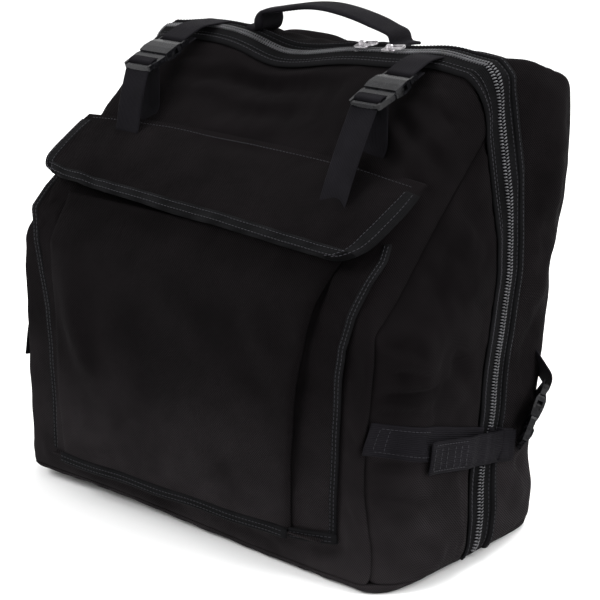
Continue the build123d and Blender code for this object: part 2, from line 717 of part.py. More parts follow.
def shoulder_strap():
    """Padded strap sewn under the back's top edge, arched back and down along the back."""
    line = [(rear_top_y - shoulder_root_inset, back_height - shoulder_strap_thickness / 2),
            (rear_top_y + shoulder_crest_gap, back_height + shoulder_strap_rise),
            arch, waist, foot]
    strap = ribbon(line, shoulder_bends, far, shoulder_strap_thickness, Plane.YZ)
    half_top = shoulder_strap_width / 2
    half_foot = shoulder_strap_width / 3
    outline = make_face(Polyline(
        (shoulder_strap_x - half_top, far), (shoulder_strap_x + half_top, far),
        (shoulder_strap_x + half_top, shoulder_taper_z),
        (shoulder_foot_x + half_foot, shoulder_foot_z), (shoulder_foot_x + half_foot, 0),
        (shoulder_foot_x - half_foot, 0), (shoulder_foot_x - half_foot, shoulder_foot_z),
        (shoulder_strap_x - half_top, shoulder_taper_z), close=True))
    return (strap & Plane.XZ * extrude(outline, amount=far, both=True)) - outer


strap_fall = Vector(0, foot[0] - waist[0], foot[1] - waist[1]).normalized()
shoulder_lock = Plane(origin=(shoulder_foot_x, *foot), x_dir=strap_fall,
                      z_dir=Vector(-1, 0, 0).cross(strap_fall))
lock_shift = ladder_length + clearance


def shoulder_tab():
    """Short webbing from the padded strap's foot round the lock's outer bar."""
    reach = lock_shift + outer_slot_x
    line = [(0, wrap_height), (reach, wrap_height), (reach, -wrap_height), (0, -wrap_height)]
    return ribbon(line, [2.5, 2.5], webbing_width, webbing_thickness, buckle_section)


def shoulder_webbing():
    """Narrow webbing from the lock's inner slot to the back's lower corner."""
    top = shoulder_lock.from_local_coords(
        Vector(lock_shift + inner_slot_x, 0, wrap_height))
    line = [(top.Y, top.Z), (rear_foot_y - 2, shoulder_webbing_anchor)]
    plane = Plane(origin=(shoulder_foot_x, 0, 0), x_dir=(0, 1, 0), z_dir=(1, 0, 0))
    return ribbon(line, [], webbing_width, webbing_thickness, plane) - outer


for side in ("left", "right"):
    for piece, name in ((shoulder_strap(), "strap"),
                        (shoulder_lock * shoulder_tab(), "tab"),
                        (shoulder_lock * Pos(lock_shift, 0) * ladder_frame(), "ladder_lock"),
                        (shoulder_webbing(), "webbing")):
        save(piece if side == "right" else mirror(piece, about=Plane.YZ),
             f"shoulder_{name}_{side}")
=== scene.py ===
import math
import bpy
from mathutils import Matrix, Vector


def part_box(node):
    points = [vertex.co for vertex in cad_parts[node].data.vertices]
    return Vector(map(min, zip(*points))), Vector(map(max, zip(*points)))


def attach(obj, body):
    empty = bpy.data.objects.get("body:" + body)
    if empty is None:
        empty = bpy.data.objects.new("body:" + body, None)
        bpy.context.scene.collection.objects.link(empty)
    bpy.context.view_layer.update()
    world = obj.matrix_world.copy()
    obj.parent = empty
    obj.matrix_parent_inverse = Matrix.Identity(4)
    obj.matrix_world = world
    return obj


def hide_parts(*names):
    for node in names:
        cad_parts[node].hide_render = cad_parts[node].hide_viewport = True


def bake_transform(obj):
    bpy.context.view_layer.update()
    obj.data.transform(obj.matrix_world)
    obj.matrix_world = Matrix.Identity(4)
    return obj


bl_info = {
    "name": "Soft Accordion Case",
    "version": (1, 0, 0),
    "blender": (4, 5, 0),
    "location": "3D View > Sidebar > Accordion Case",
    "description": "Dresses a padded accordion case in cloth, webbing, zip and buckles",
    "category": "Object",
}

import bpy
import numpy as np
from bpy.props import FloatProperty, FloatVectorProperty, IntProperty, PointerProperty
from mathutils import Vector, noise
from mathutils.bvhtree import BVHTree

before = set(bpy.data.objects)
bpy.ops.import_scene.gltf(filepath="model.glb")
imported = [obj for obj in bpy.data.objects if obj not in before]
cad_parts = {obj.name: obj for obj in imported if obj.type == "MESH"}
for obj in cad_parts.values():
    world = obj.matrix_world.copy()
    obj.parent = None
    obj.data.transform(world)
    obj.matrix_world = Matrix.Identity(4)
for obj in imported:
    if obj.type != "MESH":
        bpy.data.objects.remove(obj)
MM = 0.001
X_AXIS = np.array([1.0, 0.0, 0.0])
UP = np.array([0.0, 0.0, 1.0])


def linear(code):
    """Linear colour of an sRGB hex value."""
    channels = [int(code[i:i + 2], 16) / 255 for i in (0, 2, 4)]
    return tuple(c / 12.92 if c <= 0.04045 else ((c + 0.055) / 1.055) ** 2.4 for c in channels)


# ------------------------------------------------------------------ what a user would change
def length_setting(name, about, millimetres):
    return FloatProperty(name=name, description=about, default=millimetres * MM, unit="LENGTH")


def colour_setting(name, about, code):
    return FloatVectorProperty(name=name, description=about, subtype="COLOR", size=3,
                               default=linear(code))


class CaseSizes(bpy.types.PropertyGroup):
    voxel: length_setting("Voxel", "Cell that padded panels are remeshed with", 4.2)
    puff: length_setting("Puff", "How far the padding swells between seams", 3.0)
    zip_dip: length_setting("Zip dip", "How far the top sags left of the handle", 17.0)
    tooth_pitch: length_setting("Coil pitch", "Distance between turns of the coil", 3.3)
    stitch_length: length_setting("Stitch length", "Length of one stitch", 3.2)
    webbing_width: length_setting("Webbing width", "Width of the flat webbing", 32.0)
    webbing_thickness: length_setting("Webbing thickness", "Of the flat webbing", 1.8)
    pocket_bulge: length_setting("Pocket bulge", "How far the pocket swells", 7.0)
    settle_steps: IntProperty(name="Cloth steps", description="Frames of the cloth simulation",
                              default=14, min=1, max=40)


class CaseColours(bpy.types.PropertyGroup):
    cloth: colour_setting("Cloth", "Twill of the case", "0d0b0c")
    binding: colour_setting("Binding", "Grosgrain tape on the edges", "0c0c0d")
    webbing: colour_setting("Webbing", "Straps and handle", "121114")
    thread: colour_setting("Thread", "Sewing thread", "242328")
    coil: colour_setting("Coil", "Nylon coil of the zip", "3e3e41")
    buckle: colour_setting("Buckle", "Moulded acetal", "0c0c0e")
    slider: colour_setting("Slider", "Gunmetal plating", "8a888a")
    floor: colour_setting("Floor", "Plain studio floor", "fbfbfb")


def sizes():
    return bpy.context.scene.case_sizes


def colours():
    return bpy.context.scene.case_colours


# ------------------------------------------------------------------ materials
def add_node(tree, kind, settings=None, links=None):
    """One node with its settings, by property or socket name, and its links."""
    made = tree.nodes.new(kind)
    for key, value in (settings or {}).items():
        if isinstance(key, str) and hasattr(made, key):
            setattr(made, key, value)
        else:
            made.inputs[key].default_value = value
    for key, source in (links or {}).items():
        tree.links.new(source, made.inputs[key])
    return made


def new_material(name, base, roughness, **sockets):
    """A Principled material with its constants on the shader's own sockets."""
    material = bpy.data.materials.new(name)
    material.use_nodes = True
    tree = material.node_tree
    shader = tree.nodes["Principled BSDF"]
    shader.inputs["Base Color"].default_value = (*base, 1)
    shader.inputs["Roughness"].default_value = roughness
    for key, value in sockets.items():
        shader.inputs[key.replace("_", " ")].default_value = value
    return material, tree


def product(tree, first, second):
    """Two values multiplied."""
    return add_node(tree, "ShaderNodeMath", {"operation": "MULTIPLY"},
                    {0: first, 1: second}).outputs[0]


def wave(tree, vector, direction, pitch, phase=None):
    """Sine of the distance along a direction, one turn to each pitch."""
    along = add_node(tree, "ShaderNodeVectorMath", {"operation": "DOT_PRODUCT", 1: direction},
                     {0: vector}).outputs["Value"]
    turns = add_node(tree, "ShaderNodeMath", {"operation": "MULTIPLY", 1: 2 * math.pi / pitch},
                     {0: along}).outputs[0]
    if phase is not None:
        turns = add_node(tree, "ShaderNodeMath", {"operation": "ADD"},
                         {0: turns, 1: phase}).outputs[0]
    return add_node(tree, "ShaderNodeMath", {"operation": "SINE"}, {0: turns}).outputs[0]


def mixed(tree, factor, base, low, high):
    """The base colour times low to high, by a factor."""
    ramp = add_node(tree, "ShaderNodeMix", {"data_type": "RGBA"}, {"Factor": factor})
    ramp.inputs[6].default_value = (*[min(1, c * low) for c in base], 1)
    ramp.inputs[7].default_value = (*[min(1, c * high) for c in base], 1)
    return ramp.outputs[2]


def ranged(tree, value, low, high, to_low=0.0, to_high=1.0):
    """A value moved from one range to another."""
    return add_node(tree, "ShaderNodeMapRange", {
        "From Min": low, "From Max": high, "To Min": to_low, "To Max": to_high},
        {"Value": value}).outputs[0]


def own_place(tree):
    """The point's place in the piece's own space."""
    return add_node(tree, "ShaderNodeTexCoord").outputs["Object"]


def clouds(tree, scale, detail, **more):
    """Noise of some scale over the piece."""
    return add_node(tree, "ShaderNodeTexNoise", {"Scale": scale, "Detail": detail, **more},
                    {"Vector": own_place(tree)}).outputs["Fac"]


def scaled(tree, colour, factor):
    """A colour times a value."""
    return add_node(tree, "ShaderNodeVectorMath", {"operation": "SCALE"},
                    {0: colour, "Scale": factor}).outputs[0]


def relief(tree, height, strength, distance, under=None):
    """A bumped normal, on top of another one if it is given."""
    links = {"Height": height} if under is None else {"Height": height, "Normal": under}
    return add_node(tree, "ShaderNodeBump", {"Strength": strength, "Distance": distance},
                    links).outputs[0]


def worn_edges(tree, low, high):
    """How far the surface is an outer edge, from 0 to 1."""
    edge = add_node(tree, "ShaderNodeNewGeometry").outputs["Pointiness"]
    return ranged(tree, edge, low, high)


def finished(material, colour, roughness=None, normal=None):
    """Links what was built to the material's shader."""
    tree = material.node_tree
    shader = tree.nodes["Principled BSDF"]
    for socket, source in (("Base Color", colour), ("Roughness", roughness), ("Normal", normal)):
        if source is not None:
            tree.links.new(source, shader.inputs[socket])
    return material


def twill_cloth(name, base, pitch, depth):
    """Woven polyester twill, dyed black: matt, with fine diagonal ribs, dusty near the floor.

    The ribs are drawn at about three times their real pitch of 1 mm, so that they show.
    """
    material, tree = new_material(name, base, 0.86, Sheen_Weight=0.004, Sheen_Roughness=0.5,
                                  Specular_IOR_Level=0.012)
    wander = ranged(tree, clouds(tree, 140.0, 2.0), 0.2, 0.8, -0.9, 0.9)
    place = own_place(tree)
    ribs = wave(tree, place, (1, 1, 1), pitch, wander)
    weft = wave(tree, place, (1, -0.35, -0.85), pitch * 0.7)
    threads = add_node(tree, "ShaderNodeMath", {"operation": "MULTIPLY_ADD", 1: 0.35},
                       {0: weft, 2: ribs}).outputs[0]
    # noise that varies the cloth's tone at random and mottles the painted bounce light below
    mottle = ranged(tree, clouds(tree, 14.0, 4.0, Roughness=0.6), 0.35, 0.75)
    shade = mixed(tree, mottle, base, 0.85, 1.5)
    height = add_node(tree, "ShaderNodeSeparateXYZ", links={0: place}).outputs[2]
    # painted bounce light: the lowest 0.2 m of cloth is mixed towards a paler colour, as if lit
    # from the white floor, in noise-mottled patches
    painted_bounce_mask = product(tree, ranged(tree, height, 0.20, 0.0), ranged(tree, mottle, 0.0, 1.0, 0.4, 1.0))
    painted_bounce_mix = add_node(tree, "ShaderNodeMix", {"data_type": "RGBA"}, {"Factor": painted_bounce_mask, 6: shade})
    # the paler colour of the painted bounce light from the floor
    painted_bounce_mix.inputs[7].default_value = (*[c * 4 + 0.007 for c in base], 1)
    colour = scaled(tree, painted_bounce_mix.outputs[2], ranged(tree, threads, -1.3, 1.3, 0.25, 1.75))
    creases = clouds(tree, 24.0, 5.0, Roughness=0.55, Distortion=1.2)
    weave = relief(tree, threads, 0.8, depth, relief(tree, creases, 0.8, 5.0 * MM))
    return finished(material, colour, ranged(tree, threads, -1.3, 1.3, 0.92, 0.72), weave)


def woven_tape(name, base, rib_pitch, cross_pitch, depth, roughness=0.78):
    """Woven tape, its ribs running by its own length and width: matt with a slight sheen."""
    material, tree = new_material(name, base, roughness, Sheen_Weight=0.004,
                                  Sheen_Roughness=0.4, Specular_IOR_Level=0.025)
    flat = add_node(tree, "ShaderNodeUVMap", {"uv_map": "cloth"}).outputs[0]
    ribs = wave(tree, flat, (1, 0, 0), rib_pitch)
    picks = wave(tree, flat, (0, 1, 0), cross_pitch)
    threads = add_node(tree, "ShaderNodeMath", {"operation": "MULTIPLY_ADD", 1: 0.6},
                       {0: product(tree, ribs, picks), 2: ribs}).outputs[0]
    shade = mixed(tree, ranged(tree, clouds(tree, 30.0, 3.0), 0.3, 0.7), base, 0.8, 1.35)
    colour = scaled(tree, shade, ranged(tree, threads, -1.5, 1.5, 0.7, 1.3))
    return finished(material, colour, normal=relief(tree, threads, 0.9, depth))


def spun_thread(name, base):
    """Bonded polyester thread: a little brighter than the cloth, with a soft shine."""
    material, tree = new_material(name, base, 0.5, Specular_IOR_Level=0.2)
    twist = wave(tree, own_place(tree), (1, 1, 1), 0.9 * MM)
    return finished(material, mixed(tree, ranged(tree, twist, -1, 1), base, 0.7, 1.3),
                    normal=relief(tree, twist, 0.5, 0.2 * MM))


def moulded_acetal(name, base):
    """Injection-moulded acetal: smooth and waxy, finely orange-peeled, scuffed along edges."""
    material, tree = new_material(name, base, 0.36, Specular_IOR_Level=0.2, IOR=1.48)
    worn = ranged(tree, clouds(tree, 130.0, 5.0, Roughness=0.7), 0.45, 0.72)
    rubbed = product(tree, worn_edges(tree, 0.5, 0.62), worn)
    return finished(material, mixed(tree, rubbed, base, 1, 3),
                    ranged(tree, worn, 0, 1, 0.2, 0.42),
                    relief(tree, clouds(tree, 900.0, 2.0), 0.15, 0.2 * MM))


def extruded_nylon(name, base):
    """Nylon monofilament, coiled and heat-set: grey, half-gloss, paler where it is rubbed."""
    material, tree = new_material(name, base, 0.38, Specular_IOR_Level=0.5)
    wear = clouds(tree, 60.0, 3.0)
    return finished(material, mixed(tree, ranged(tree, wear, 0.3, 0.7), base, 0.65, 1.25),
                    ranged(tree, wear, 0.3, 0.7, 0.5, 0.3))


def plated_zinc(name, base):
    """Die-cast zinc under gunmetal plating: grey metal, tumbled, brighter on worn edges."""
    material, tree = new_material(name, base, 0.3, Metallic=1.0)
    grain = clouds(tree, 700.0, 4.0)
    return finished(material, mixed(tree, worn_edges(tree, 0.5, 0.6), base, 1, 2.2),
                    ranged(tree, grain, 0.3, 0.7, 0.22, 0.42),
                    relief(tree, grain, 0.2, 0.1 * MM))


MATERIALS = {}


def make_materials():
    """Every finish on the case, by the name its pieces ask for."""
    tint = colours()
    MATERIALS.update({
        "twill": twill_cloth("woven polyester twill", tint.cloth, 3.0 * MM, 0.6 * MM),
        "flap_twill": twill_cloth("woven polyester twill, flap", tint.cloth, 2.8 * MM, 0.5 * MM),
        "binding": woven_tape("grosgrain binding tape", tint.binding, 40 * MM, 1.6 * MM,
                              0.4 * MM),
        "webbing": woven_tape("polypropylene webbing", tint.webbing, 1.9 * MM, 1.7 * MM,
                              0.4 * MM, 0.66),
        "zip_tape": woven_tape("woven zip tape", tint.binding, 1.7 * MM, 1.5 * MM, 0.3 * MM),
        "thread": spun_thread("bonded polyester thread", tint.thread),
        "acetal": moulded_acetal("moulded acetal", tint.buckle),
        "coil": extruded_nylon("coiled nylon monofilament", tint.coil),
        "zinc": plated_zinc("gunmetal plated zinc", tint.slider),
    })


# ------------------------------------------------------------------ mesh helpers
def smooth_step(low, high, value):
    """0 below low, 1 above high, smooth between."""
    t = np.clip((np.asarray(value, float) - low) / (high - low), 0, 1)
    return t * t * (3 - 2 * t)


def unit(vectors):
    """Vectors brought to length one."""
    return vectors / np.linalg.norm(vectors, axis=-1, keepdims=True)


def run_of(line):
    """Distance along a line at each of its points."""
    return np.concatenate([[0], np.cumsum(np.linalg.norm(np.diff(line, axis=0), axis=1))])


def along_line(at, run, line):
    """What a line's rows are at distances along it."""
    return np.stack([np.interp(at, run, line[:, k]) for k in range(3)], axis=-1)


def grid_of(x, y, z):
    """A grid of points from coordinates that broadcast to one shape."""
    return np.stack(np.broadcast_arrays(x, y, z), axis=-1)


def noise_at(points, scale, seed):
    """Smooth noise from about -1 to 1 at each point; the scale is its wavelength."""
    shift = Vector((seed, 0.7 * seed, -1.3 * seed))
    return np.array([noise.noise(Vector(p) / scale + shift) for p in points])


def read(items, key, width, kind=float):
    """One property of every item of a mesh, a row to each."""
    values = np.zeros(len(items) * width, kind)
    items.foreach_get(key, values)
    return values.reshape(-1, width)


def link_mesh(name, vertices, faces, flat=None):
    """A smooth-shaded object from arrays; flat gives each vertex its place on the cloth."""
    mesh = bpy.data.meshes.new(name)
    mesh.from_pydata(np.asarray(vertices, float).tolist(), [], faces)
    if flat is not None:
        layer = mesh.uv_layers.new(name="cloth")
        corners = read(mesh.loops, "vertex_index", 1, np.int32).ravel()
        layer.uv.foreach_set("vector", np.asarray(flat, np.float32)[corners].ravel())
    mesh.shade_smooth()
    piece = bpy.data.objects.new(name, mesh)
    bpy.context.scene.collection.objects.link(piece)
    return piece


def dress(piece, body, slot, material, *nodes):
    """Gives a piece its body, finish and the frame nodes that it stands for."""
    piece.data.materials.clear()
    piece.data.materials.append(MATERIALS[material])
    if body:
        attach(piece, body)
    if nodes:
        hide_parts(*nodes)
    return piece


def grid_normals(grid):
    """Unit normals of a grid of points."""
    along = np.gradient(grid, axis=0)
    across = np.gradient(grid, axis=1)
    normal = np.cross(along, across)
    return normal / np.maximum(np.linalg.norm(normal, axis=2, keepdims=True), 1e-12)


def slab(grid, thickness, flip=False):
    """A closed sheet of some thickness on a grid of points, with rounded rims.

    Gives vertices, faces and each vertex's place on the flat cloth.
    """
    rows, columns = grid.shape[:2]
    normal = grid_normals(grid) * (-1 if flip else 1)
    thick = np.broadcast_to(np.asarray(thickness, float), (rows, columns))[:, :, None]
    front, back = grid + normal * thick / 2, grid - normal * thick / 2
    flat = np.stack(np.meshgrid(run_of(grid[rows // 2]), run_of(grid[:, columns // 2])), axis=2)
    count = rows * columns
    index = np.arange(count).reshape(rows, columns)
    corners = [index[:-1, :-1], index[1:, :-1], index[1:, 1:], index[:-1, 1:]]
    if flip:
        corners = corners[:1] + corners[:0:-1]
    quads = np.stack(corners, axis=-1).reshape(-1, 4)
    rim = np.concatenate([index[0], index[1:, -1], index[-1, -2::-1], index[-2:0:-1, 0]])
    i, j = np.divmod(rim, columns)
    away = grid[i, j] - grid[np.clip(i, 1, rows - 2), np.clip(j, 1, columns - 2)]
    away /= np.maximum(np.linalg.norm(away, axis=1, keepdims=True), 1e-9)
    edge = 2 * count + np.arange(len(rim))
    rim_on, edge_on = np.roll(rim, -1), np.roll(edge, -1)
    sides = np.stack([(rim, rim_on, edge_on, edge),
                      (edge, edge_on, rim_on + count, rim + count)]).transpose(0, 2, 1)
    sides = sides.reshape(-1, 4)[:, ::-1 if flip else 1]
    vertices = np.concatenate([front.reshape(-1, 3), back.reshape(-1, 3),
                               grid[i, j] + away * thick[i, j] / 2])
    flats = np.concatenate([flat.reshape(-1, 2), flat.reshape(-1, 2), flat[i, j]])
    return vertices, [*quads.tolist(), *(quads[:, ::-1] + count).tolist(), *sides.tolist()], flats


def joined(parts):
    """Several (vertices, faces, flat) sets as one."""
    vertices, faces, flats, base = [], [], [], 0
    for points, polygons, flat in parts:
        vertices.append(points)
        flats.append(flat)
        faces += [tuple(i + base for i in polygon) for polygon in polygons]
        base += len(points)
    return np.concatenate(vertices), faces, np.concatenate(flats)


def resampled(points, step):
    """The same line with its points a step apart."""
    points = np.asarray(points, float)
    run = run_of(points)
    count = max(2, int(round(run[-1] / step)) + 1)
    return along_line(np.linspace(0, run[-1], count), run, points)


def bent_line(corners, ease, step=2.5 * MM):
    """A line through corners that is eased round each of them by its own distance."""
    corners = [np.asarray(c, float) for c in corners]
    eases = ease if hasattr(ease, "__len__") else [ease] * (len(corners) - 2)
    line = [corners[0]]
    for k in range(1, len(corners) - 1):
        before, at, after = corners[k - 1], corners[k], corners[k + 1]
        back, on = before - at, after - at
        s = min(eases[k - 1], 0.49 * np.linalg.norm(back), 0.49 * np.linalg.norm(on))
        start, end = at + unit(back) * s, at + unit(on) * s
        for t in np.linspace(0, 1, 9):
            line.append((1 - t) ** 2 * start + 2 * t * (1 - t) * at + t * t * end)
    line.append(corners[-1])
    return resampled(line, step)


def webbing(line, across, width, thickness, columns=9, cup=0.0):
    """Flat webbing along a line; across is the direction of its width, one or per point."""
    line = np.asarray(line, float)
    across = np.broadcast_to(np.asarray(across, float), line.shape)
    tangent = unit(np.gradient(line, axis=0))
    across = unit(across - tangent * (across * tangent).sum(axis=1, keepdims=True))
    normal = np.cross(across, tangent)
    offsets = np.linspace(-0.5, 0.5, columns)
    grid = (line[:, None] + across[:, None] * (offsets * width)[None, :, None]
            + normal[:, None] * (cup * (1 - (2 * offsets) ** 2))[None, :, None])
    return slab(grid, thickness)


def tube_faces(base, rings, sides):
    """Faces of a closed tube whose rings of vertices start at base."""
    faces = []
    for start in range(base, base + (rings - 1) * sides, sides):
        for m in range(sides):
            n = (m + 1) % sides
            faces.append((start + m, start + n, start + sides + n, start + sides + m))
    faces.append(tuple(range(base + sides - 1, base - 1, -1)))
    faces.append(tuple(range(base + (rings - 1) * sides, base + rings * sides)))
    return faces


STITCH_WIDTH, STITCH_GAP, STITCH_LIFT = 0.8 * MM, 1.3 * MM, 0.1 * MM
STITCH_SECTION = ((-1, -0.4), (-0.6, 0.7), (0.6, 0.7), (1, -0.4))


def stitches(line, normals):
    """A row of single stitches, each a little rounded bar on the cloth."""
    length = sizes().stitch_length
    line = np.asarray(line, float)
    run = run_of(line)
    normals = np.broadcast_to(np.asarray(normals, float), line.shape)
    vertices, faces = [], []
    for at in np.arange(STITCH_GAP, run[-1] - length, length + STITCH_GAP):
        stations = at + np.array([0, 0.2, 0.8, 1]) * length
        points = along_line(stations, run, line)
        along = points[-1] - points[0]
        along /= max(np.linalg.norm(along), 1e-9)
        faces += tube_faces(len(vertices), 4, 4)
        ups = unit(along_line(stations, run, normals))
        for point, up, swell in zip(points, ups, (0.35, 1.0, 1.0, 0.35)):
            side = np.cross(up, along)
            for c, h in STITCH_SECTION:
                vertices.append(point + side * (c * swell * STITCH_WIDTH / 2)
                                + up * (STITCH_LIFT + h * swell * STITCH_WIDTH / 2))
    vertices = np.array(vertices).reshape(-1, 3)
    return vertices, faces, vertices[:, :2].copy()


def sewn_row(line, normals, height):
    """Stitches at a height over a line."""
    return stitches(line + normals * height, normals)


TREES = {}


def tree_over(meshes):
    """Search tree over the surfaces of several meshes."""
    vertices, faces = [], []
    for mesh in meshes:
        base = len(vertices)
        vertices += [v.co.copy() for v in mesh.vertices]
        faces += [tuple(base + i for i in p.vertices) for p in mesh.polygons]
    return BVHTree.FromPolygons(vertices, faces)


def tree_for(*names):
    """Search tree over frame nodes, made once."""
    if names not in TREES:
        TREES[names] = tree_over([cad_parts[name].data for name in names])
    return TREES[names]


def skin_tree(*names):
    """Search tree over finished pieces of cloth, made once."""
    key = ("finished", *names)
    if key not in TREES:
        TREES[key] = tree_over([bpy.data.objects[name].data for name in names])
    return TREES[key]


def distances(tree, points):
    """How far each point is from a search tree's surfaces."""
    return np.array([tree.find_nearest(Vector(p))[3] for p in points])


def get_points(mesh):
    return read(mesh.vertices, "co", 3)


def set_points(mesh, points):
    mesh.vertices.foreach_set("co", np.asarray(points, np.float32).ravel())
    mesh.update()


def evaluated_mesh(piece):
    """The piece's mesh with its modifiers applied."""
    graph = bpy.context.evaluated_depsgraph_get()
    return bpy.data.meshes.new_from_object(piece.evaluated_get(graph))


def remeshed(node, name, voxel):
    """A copy of a frame node's solid, remeshed to even cells."""
    piece = bpy.data.objects.new(name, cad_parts[node].data.copy())
    bpy.context.scene.collection.objects.link(piece)
    remesh = piece.modifiers.new("remesh", "REMESH")
    remesh.mode = "VOXEL"
    remesh.voxel_size = voxel
    mesh = evaluated_mesh(piece)
    piece.modifiers.clear()
    piece.data = mesh
    mesh.name = name
    mesh.shade_smooth()
    return piece


def relaxed(mesh, passes, strength=0.5):
    """Evens a mesh out by moving each vertex towards its neighbours."""
    edges = read(mesh.edges, "vertices", 2, np.int64)
    count = np.bincount(edges.ravel(), minlength=len(mesh.vertices))[:, None]
    points = get_points(mesh)
    for _ in range(passes):
        total = np.zeros_like(points)
        np.add.at(total, edges[:, 0], points[edges[:, 1]])
        np.add.at(total, edges[:, 1], points[edges[:, 0]])
        points += strength * (total / np.maximum(count, 1) - points)
    set_points(mesh, points)


# ------------------------------------------------------------------ the filled case's shape
FRONT_PANELS = ("front_panel", "side_panel_left", "side_panel_right", "bottom_panel")
ZIP_NODES = ("front_zip_tape", "rear_zip_tape")
REAR_SLOPE = 63 / 458  # how far back the rear seam lies for each unit of height


def hump(value, middle, reach):
    """1 at the middle, fading to 0 on both sides; all in mm but the value."""
    return np.exp(-((value / MM - middle) / reach) ** 2)


def settled(points):
    """Where a filled, used case carries each point of the stiff frame's skin.

    The top sags between the handle's feet, the sides belly out behind the front seams and
    spread at the floor, and the zip's feet draw forwards with them.
    """
    points = np.array(points, float)
    x, y, z = points.T
    # the top: low left of the middle, lower still at its left end, up at its right corner
    sag = hump(x, -38, np.where(x < -38 * MM, 52, 74)) * sizes().zip_dip
    sag *= 1 - 0.8 * smooth_step(0.075, 0.13, y)
    sag += (8 * hump(x, -226, 44) - 6 * hump(x, 166, 38)) * MM
    sag -= 7 * hump(x, 236, 34) * smooth_step(0.08, 0.13, y) * MM
    top = smooth_step(0.405, 0.488, z)
    # the sides: full at mid height and behind the top, wider at the floor
    beside = smooth_step(0.165, 0.232, np.abs(x))
    behind = y - REAR_SLOPE * z
    belly = 15 * hump(z, 192, 82) * smooth_step(-0.130, -0.070, y)
    belly *= 1 - 0.45 * smooth_step(0.035, 0.125, behind)
    belly += 13 * hump(z, 378, 88) * smooth_step(0.03, 0.085, behind)
    belly += 6 * hump(z, 210, 170) * (x < 0) * (1 - smooth_step(-0.12, -0.06, y))
    spread = 16 * (1 - smooth_step(0.02, 0.11, z)) * smooth_step(-0.134, -0.104, y)
    # the front's lower right edge draws in, and the zip's feet come forwards
    front = 1 - smooth_step(-0.116, -0.084, y)
    waist = 13 * hump(z, 118, 92) * hump(x, 243, 24) * front
    feet = 44 * (1 - smooth_step(0.0, 0.155, z)) * hump(y, 32, 60)
    # the front's foot: lifted on the left, kicked out on the right
    low = 1 - smooth_step(0.0, 0.05, z)
    tuck = 10 * (1 - smooth_step(-0.16, 0.11, x)) * low * (1 - smooth_step(-0.12, -0.04, y))
    kick = 7 * smooth_step(0.02, 0.2, x) * low * (1 - smooth_step(-0.13, -0.08, y))
    points[:, 0] += np.sign(x) * (beside * (belly + spread) - waist) * MM
    points[:, 1] -= (beside * feet + kick) * MM
    points[:, 2] += tuck * MM - sag * top
    return points


def fold_push(points, folds):
    """How far a list of creases moves each point along its normal."""
    push = np.zeros(len(points))
    for start, end, width, depth in folds:
        a, b = np.array(start) * MM, np.array(end) * MM
        t = np.clip((points - a) @ (b - a) / ((b - a) @ (b - a)), 0, 1)
        away = np.linalg.norm(points - a - t[:, None] * (b - a), axis=1) / (width * MM)
        fade = 0.35 + 0.65 * np.sin(np.pi * np.clip(t, 0.03, 0.97))
        push += depth * MM * fade * (0.7 * np.exp(-(away - 1.9) ** 2 / 0.9) - np.exp(-away ** 2))
    return push


STIFFNESS = {"quality": 4, "mass": 0.25, "tension_stiffness": 12, "compression_stiffness": 12,
             "shear_stiffness": 4, "bending_stiffness": 0.8, "air_damping": 3}
PRESSURE, CLOTH_GROWTH = 2.6, 0.03
FURTHEST = 4.5 * MM  # how far the simulation may carry a point of the cloth


def swollen(piece, held):
    """Padded cloth under pressure, held at its seams; held is 1 at a seam and 0 away from it."""
    start = get_points(piece.data)
    group = piece.vertex_groups.new(name="held")
    for level in (0.25, 0.5, 0.75, 1.0):
        chosen = np.nonzero((held > level - 0.25) & (held <= level))[0]
        group.add(chosen.tolist(), level, "REPLACE")
    cloth = piece.modifiers.new("cloth", "CLOTH")
    stuff = cloth.settings
    for key, value in STIFFNESS.items():
        setattr(stuff, key, value)
    stuff.vertex_group_mass = "held"
    stuff.use_pressure = True
    stuff.uniform_pressure_force = PRESSURE
    stuff.shrink_min = -CLOTH_GROWTH
    stuff.effector_weights.gravity = 0
    cloth.collision_settings.use_collision = False
    cloth.point_cache.frame_end = sizes().settle_steps
    scene = bpy.context.scene
    for step in range(1, sizes().settle_steps + 1):
        scene.frame_set(step)
    moved = get_points(evaluated_mesh(piece)) - start
    piece.modifiers.clear()
    scene.frame_set(1)
    length = np.linalg.norm(moved, axis=1, keepdims=True)
    moved *= np.minimum(1, FURTHEST / np.maximum(length, 1e-9))
    set_points(piece.data, start + moved)


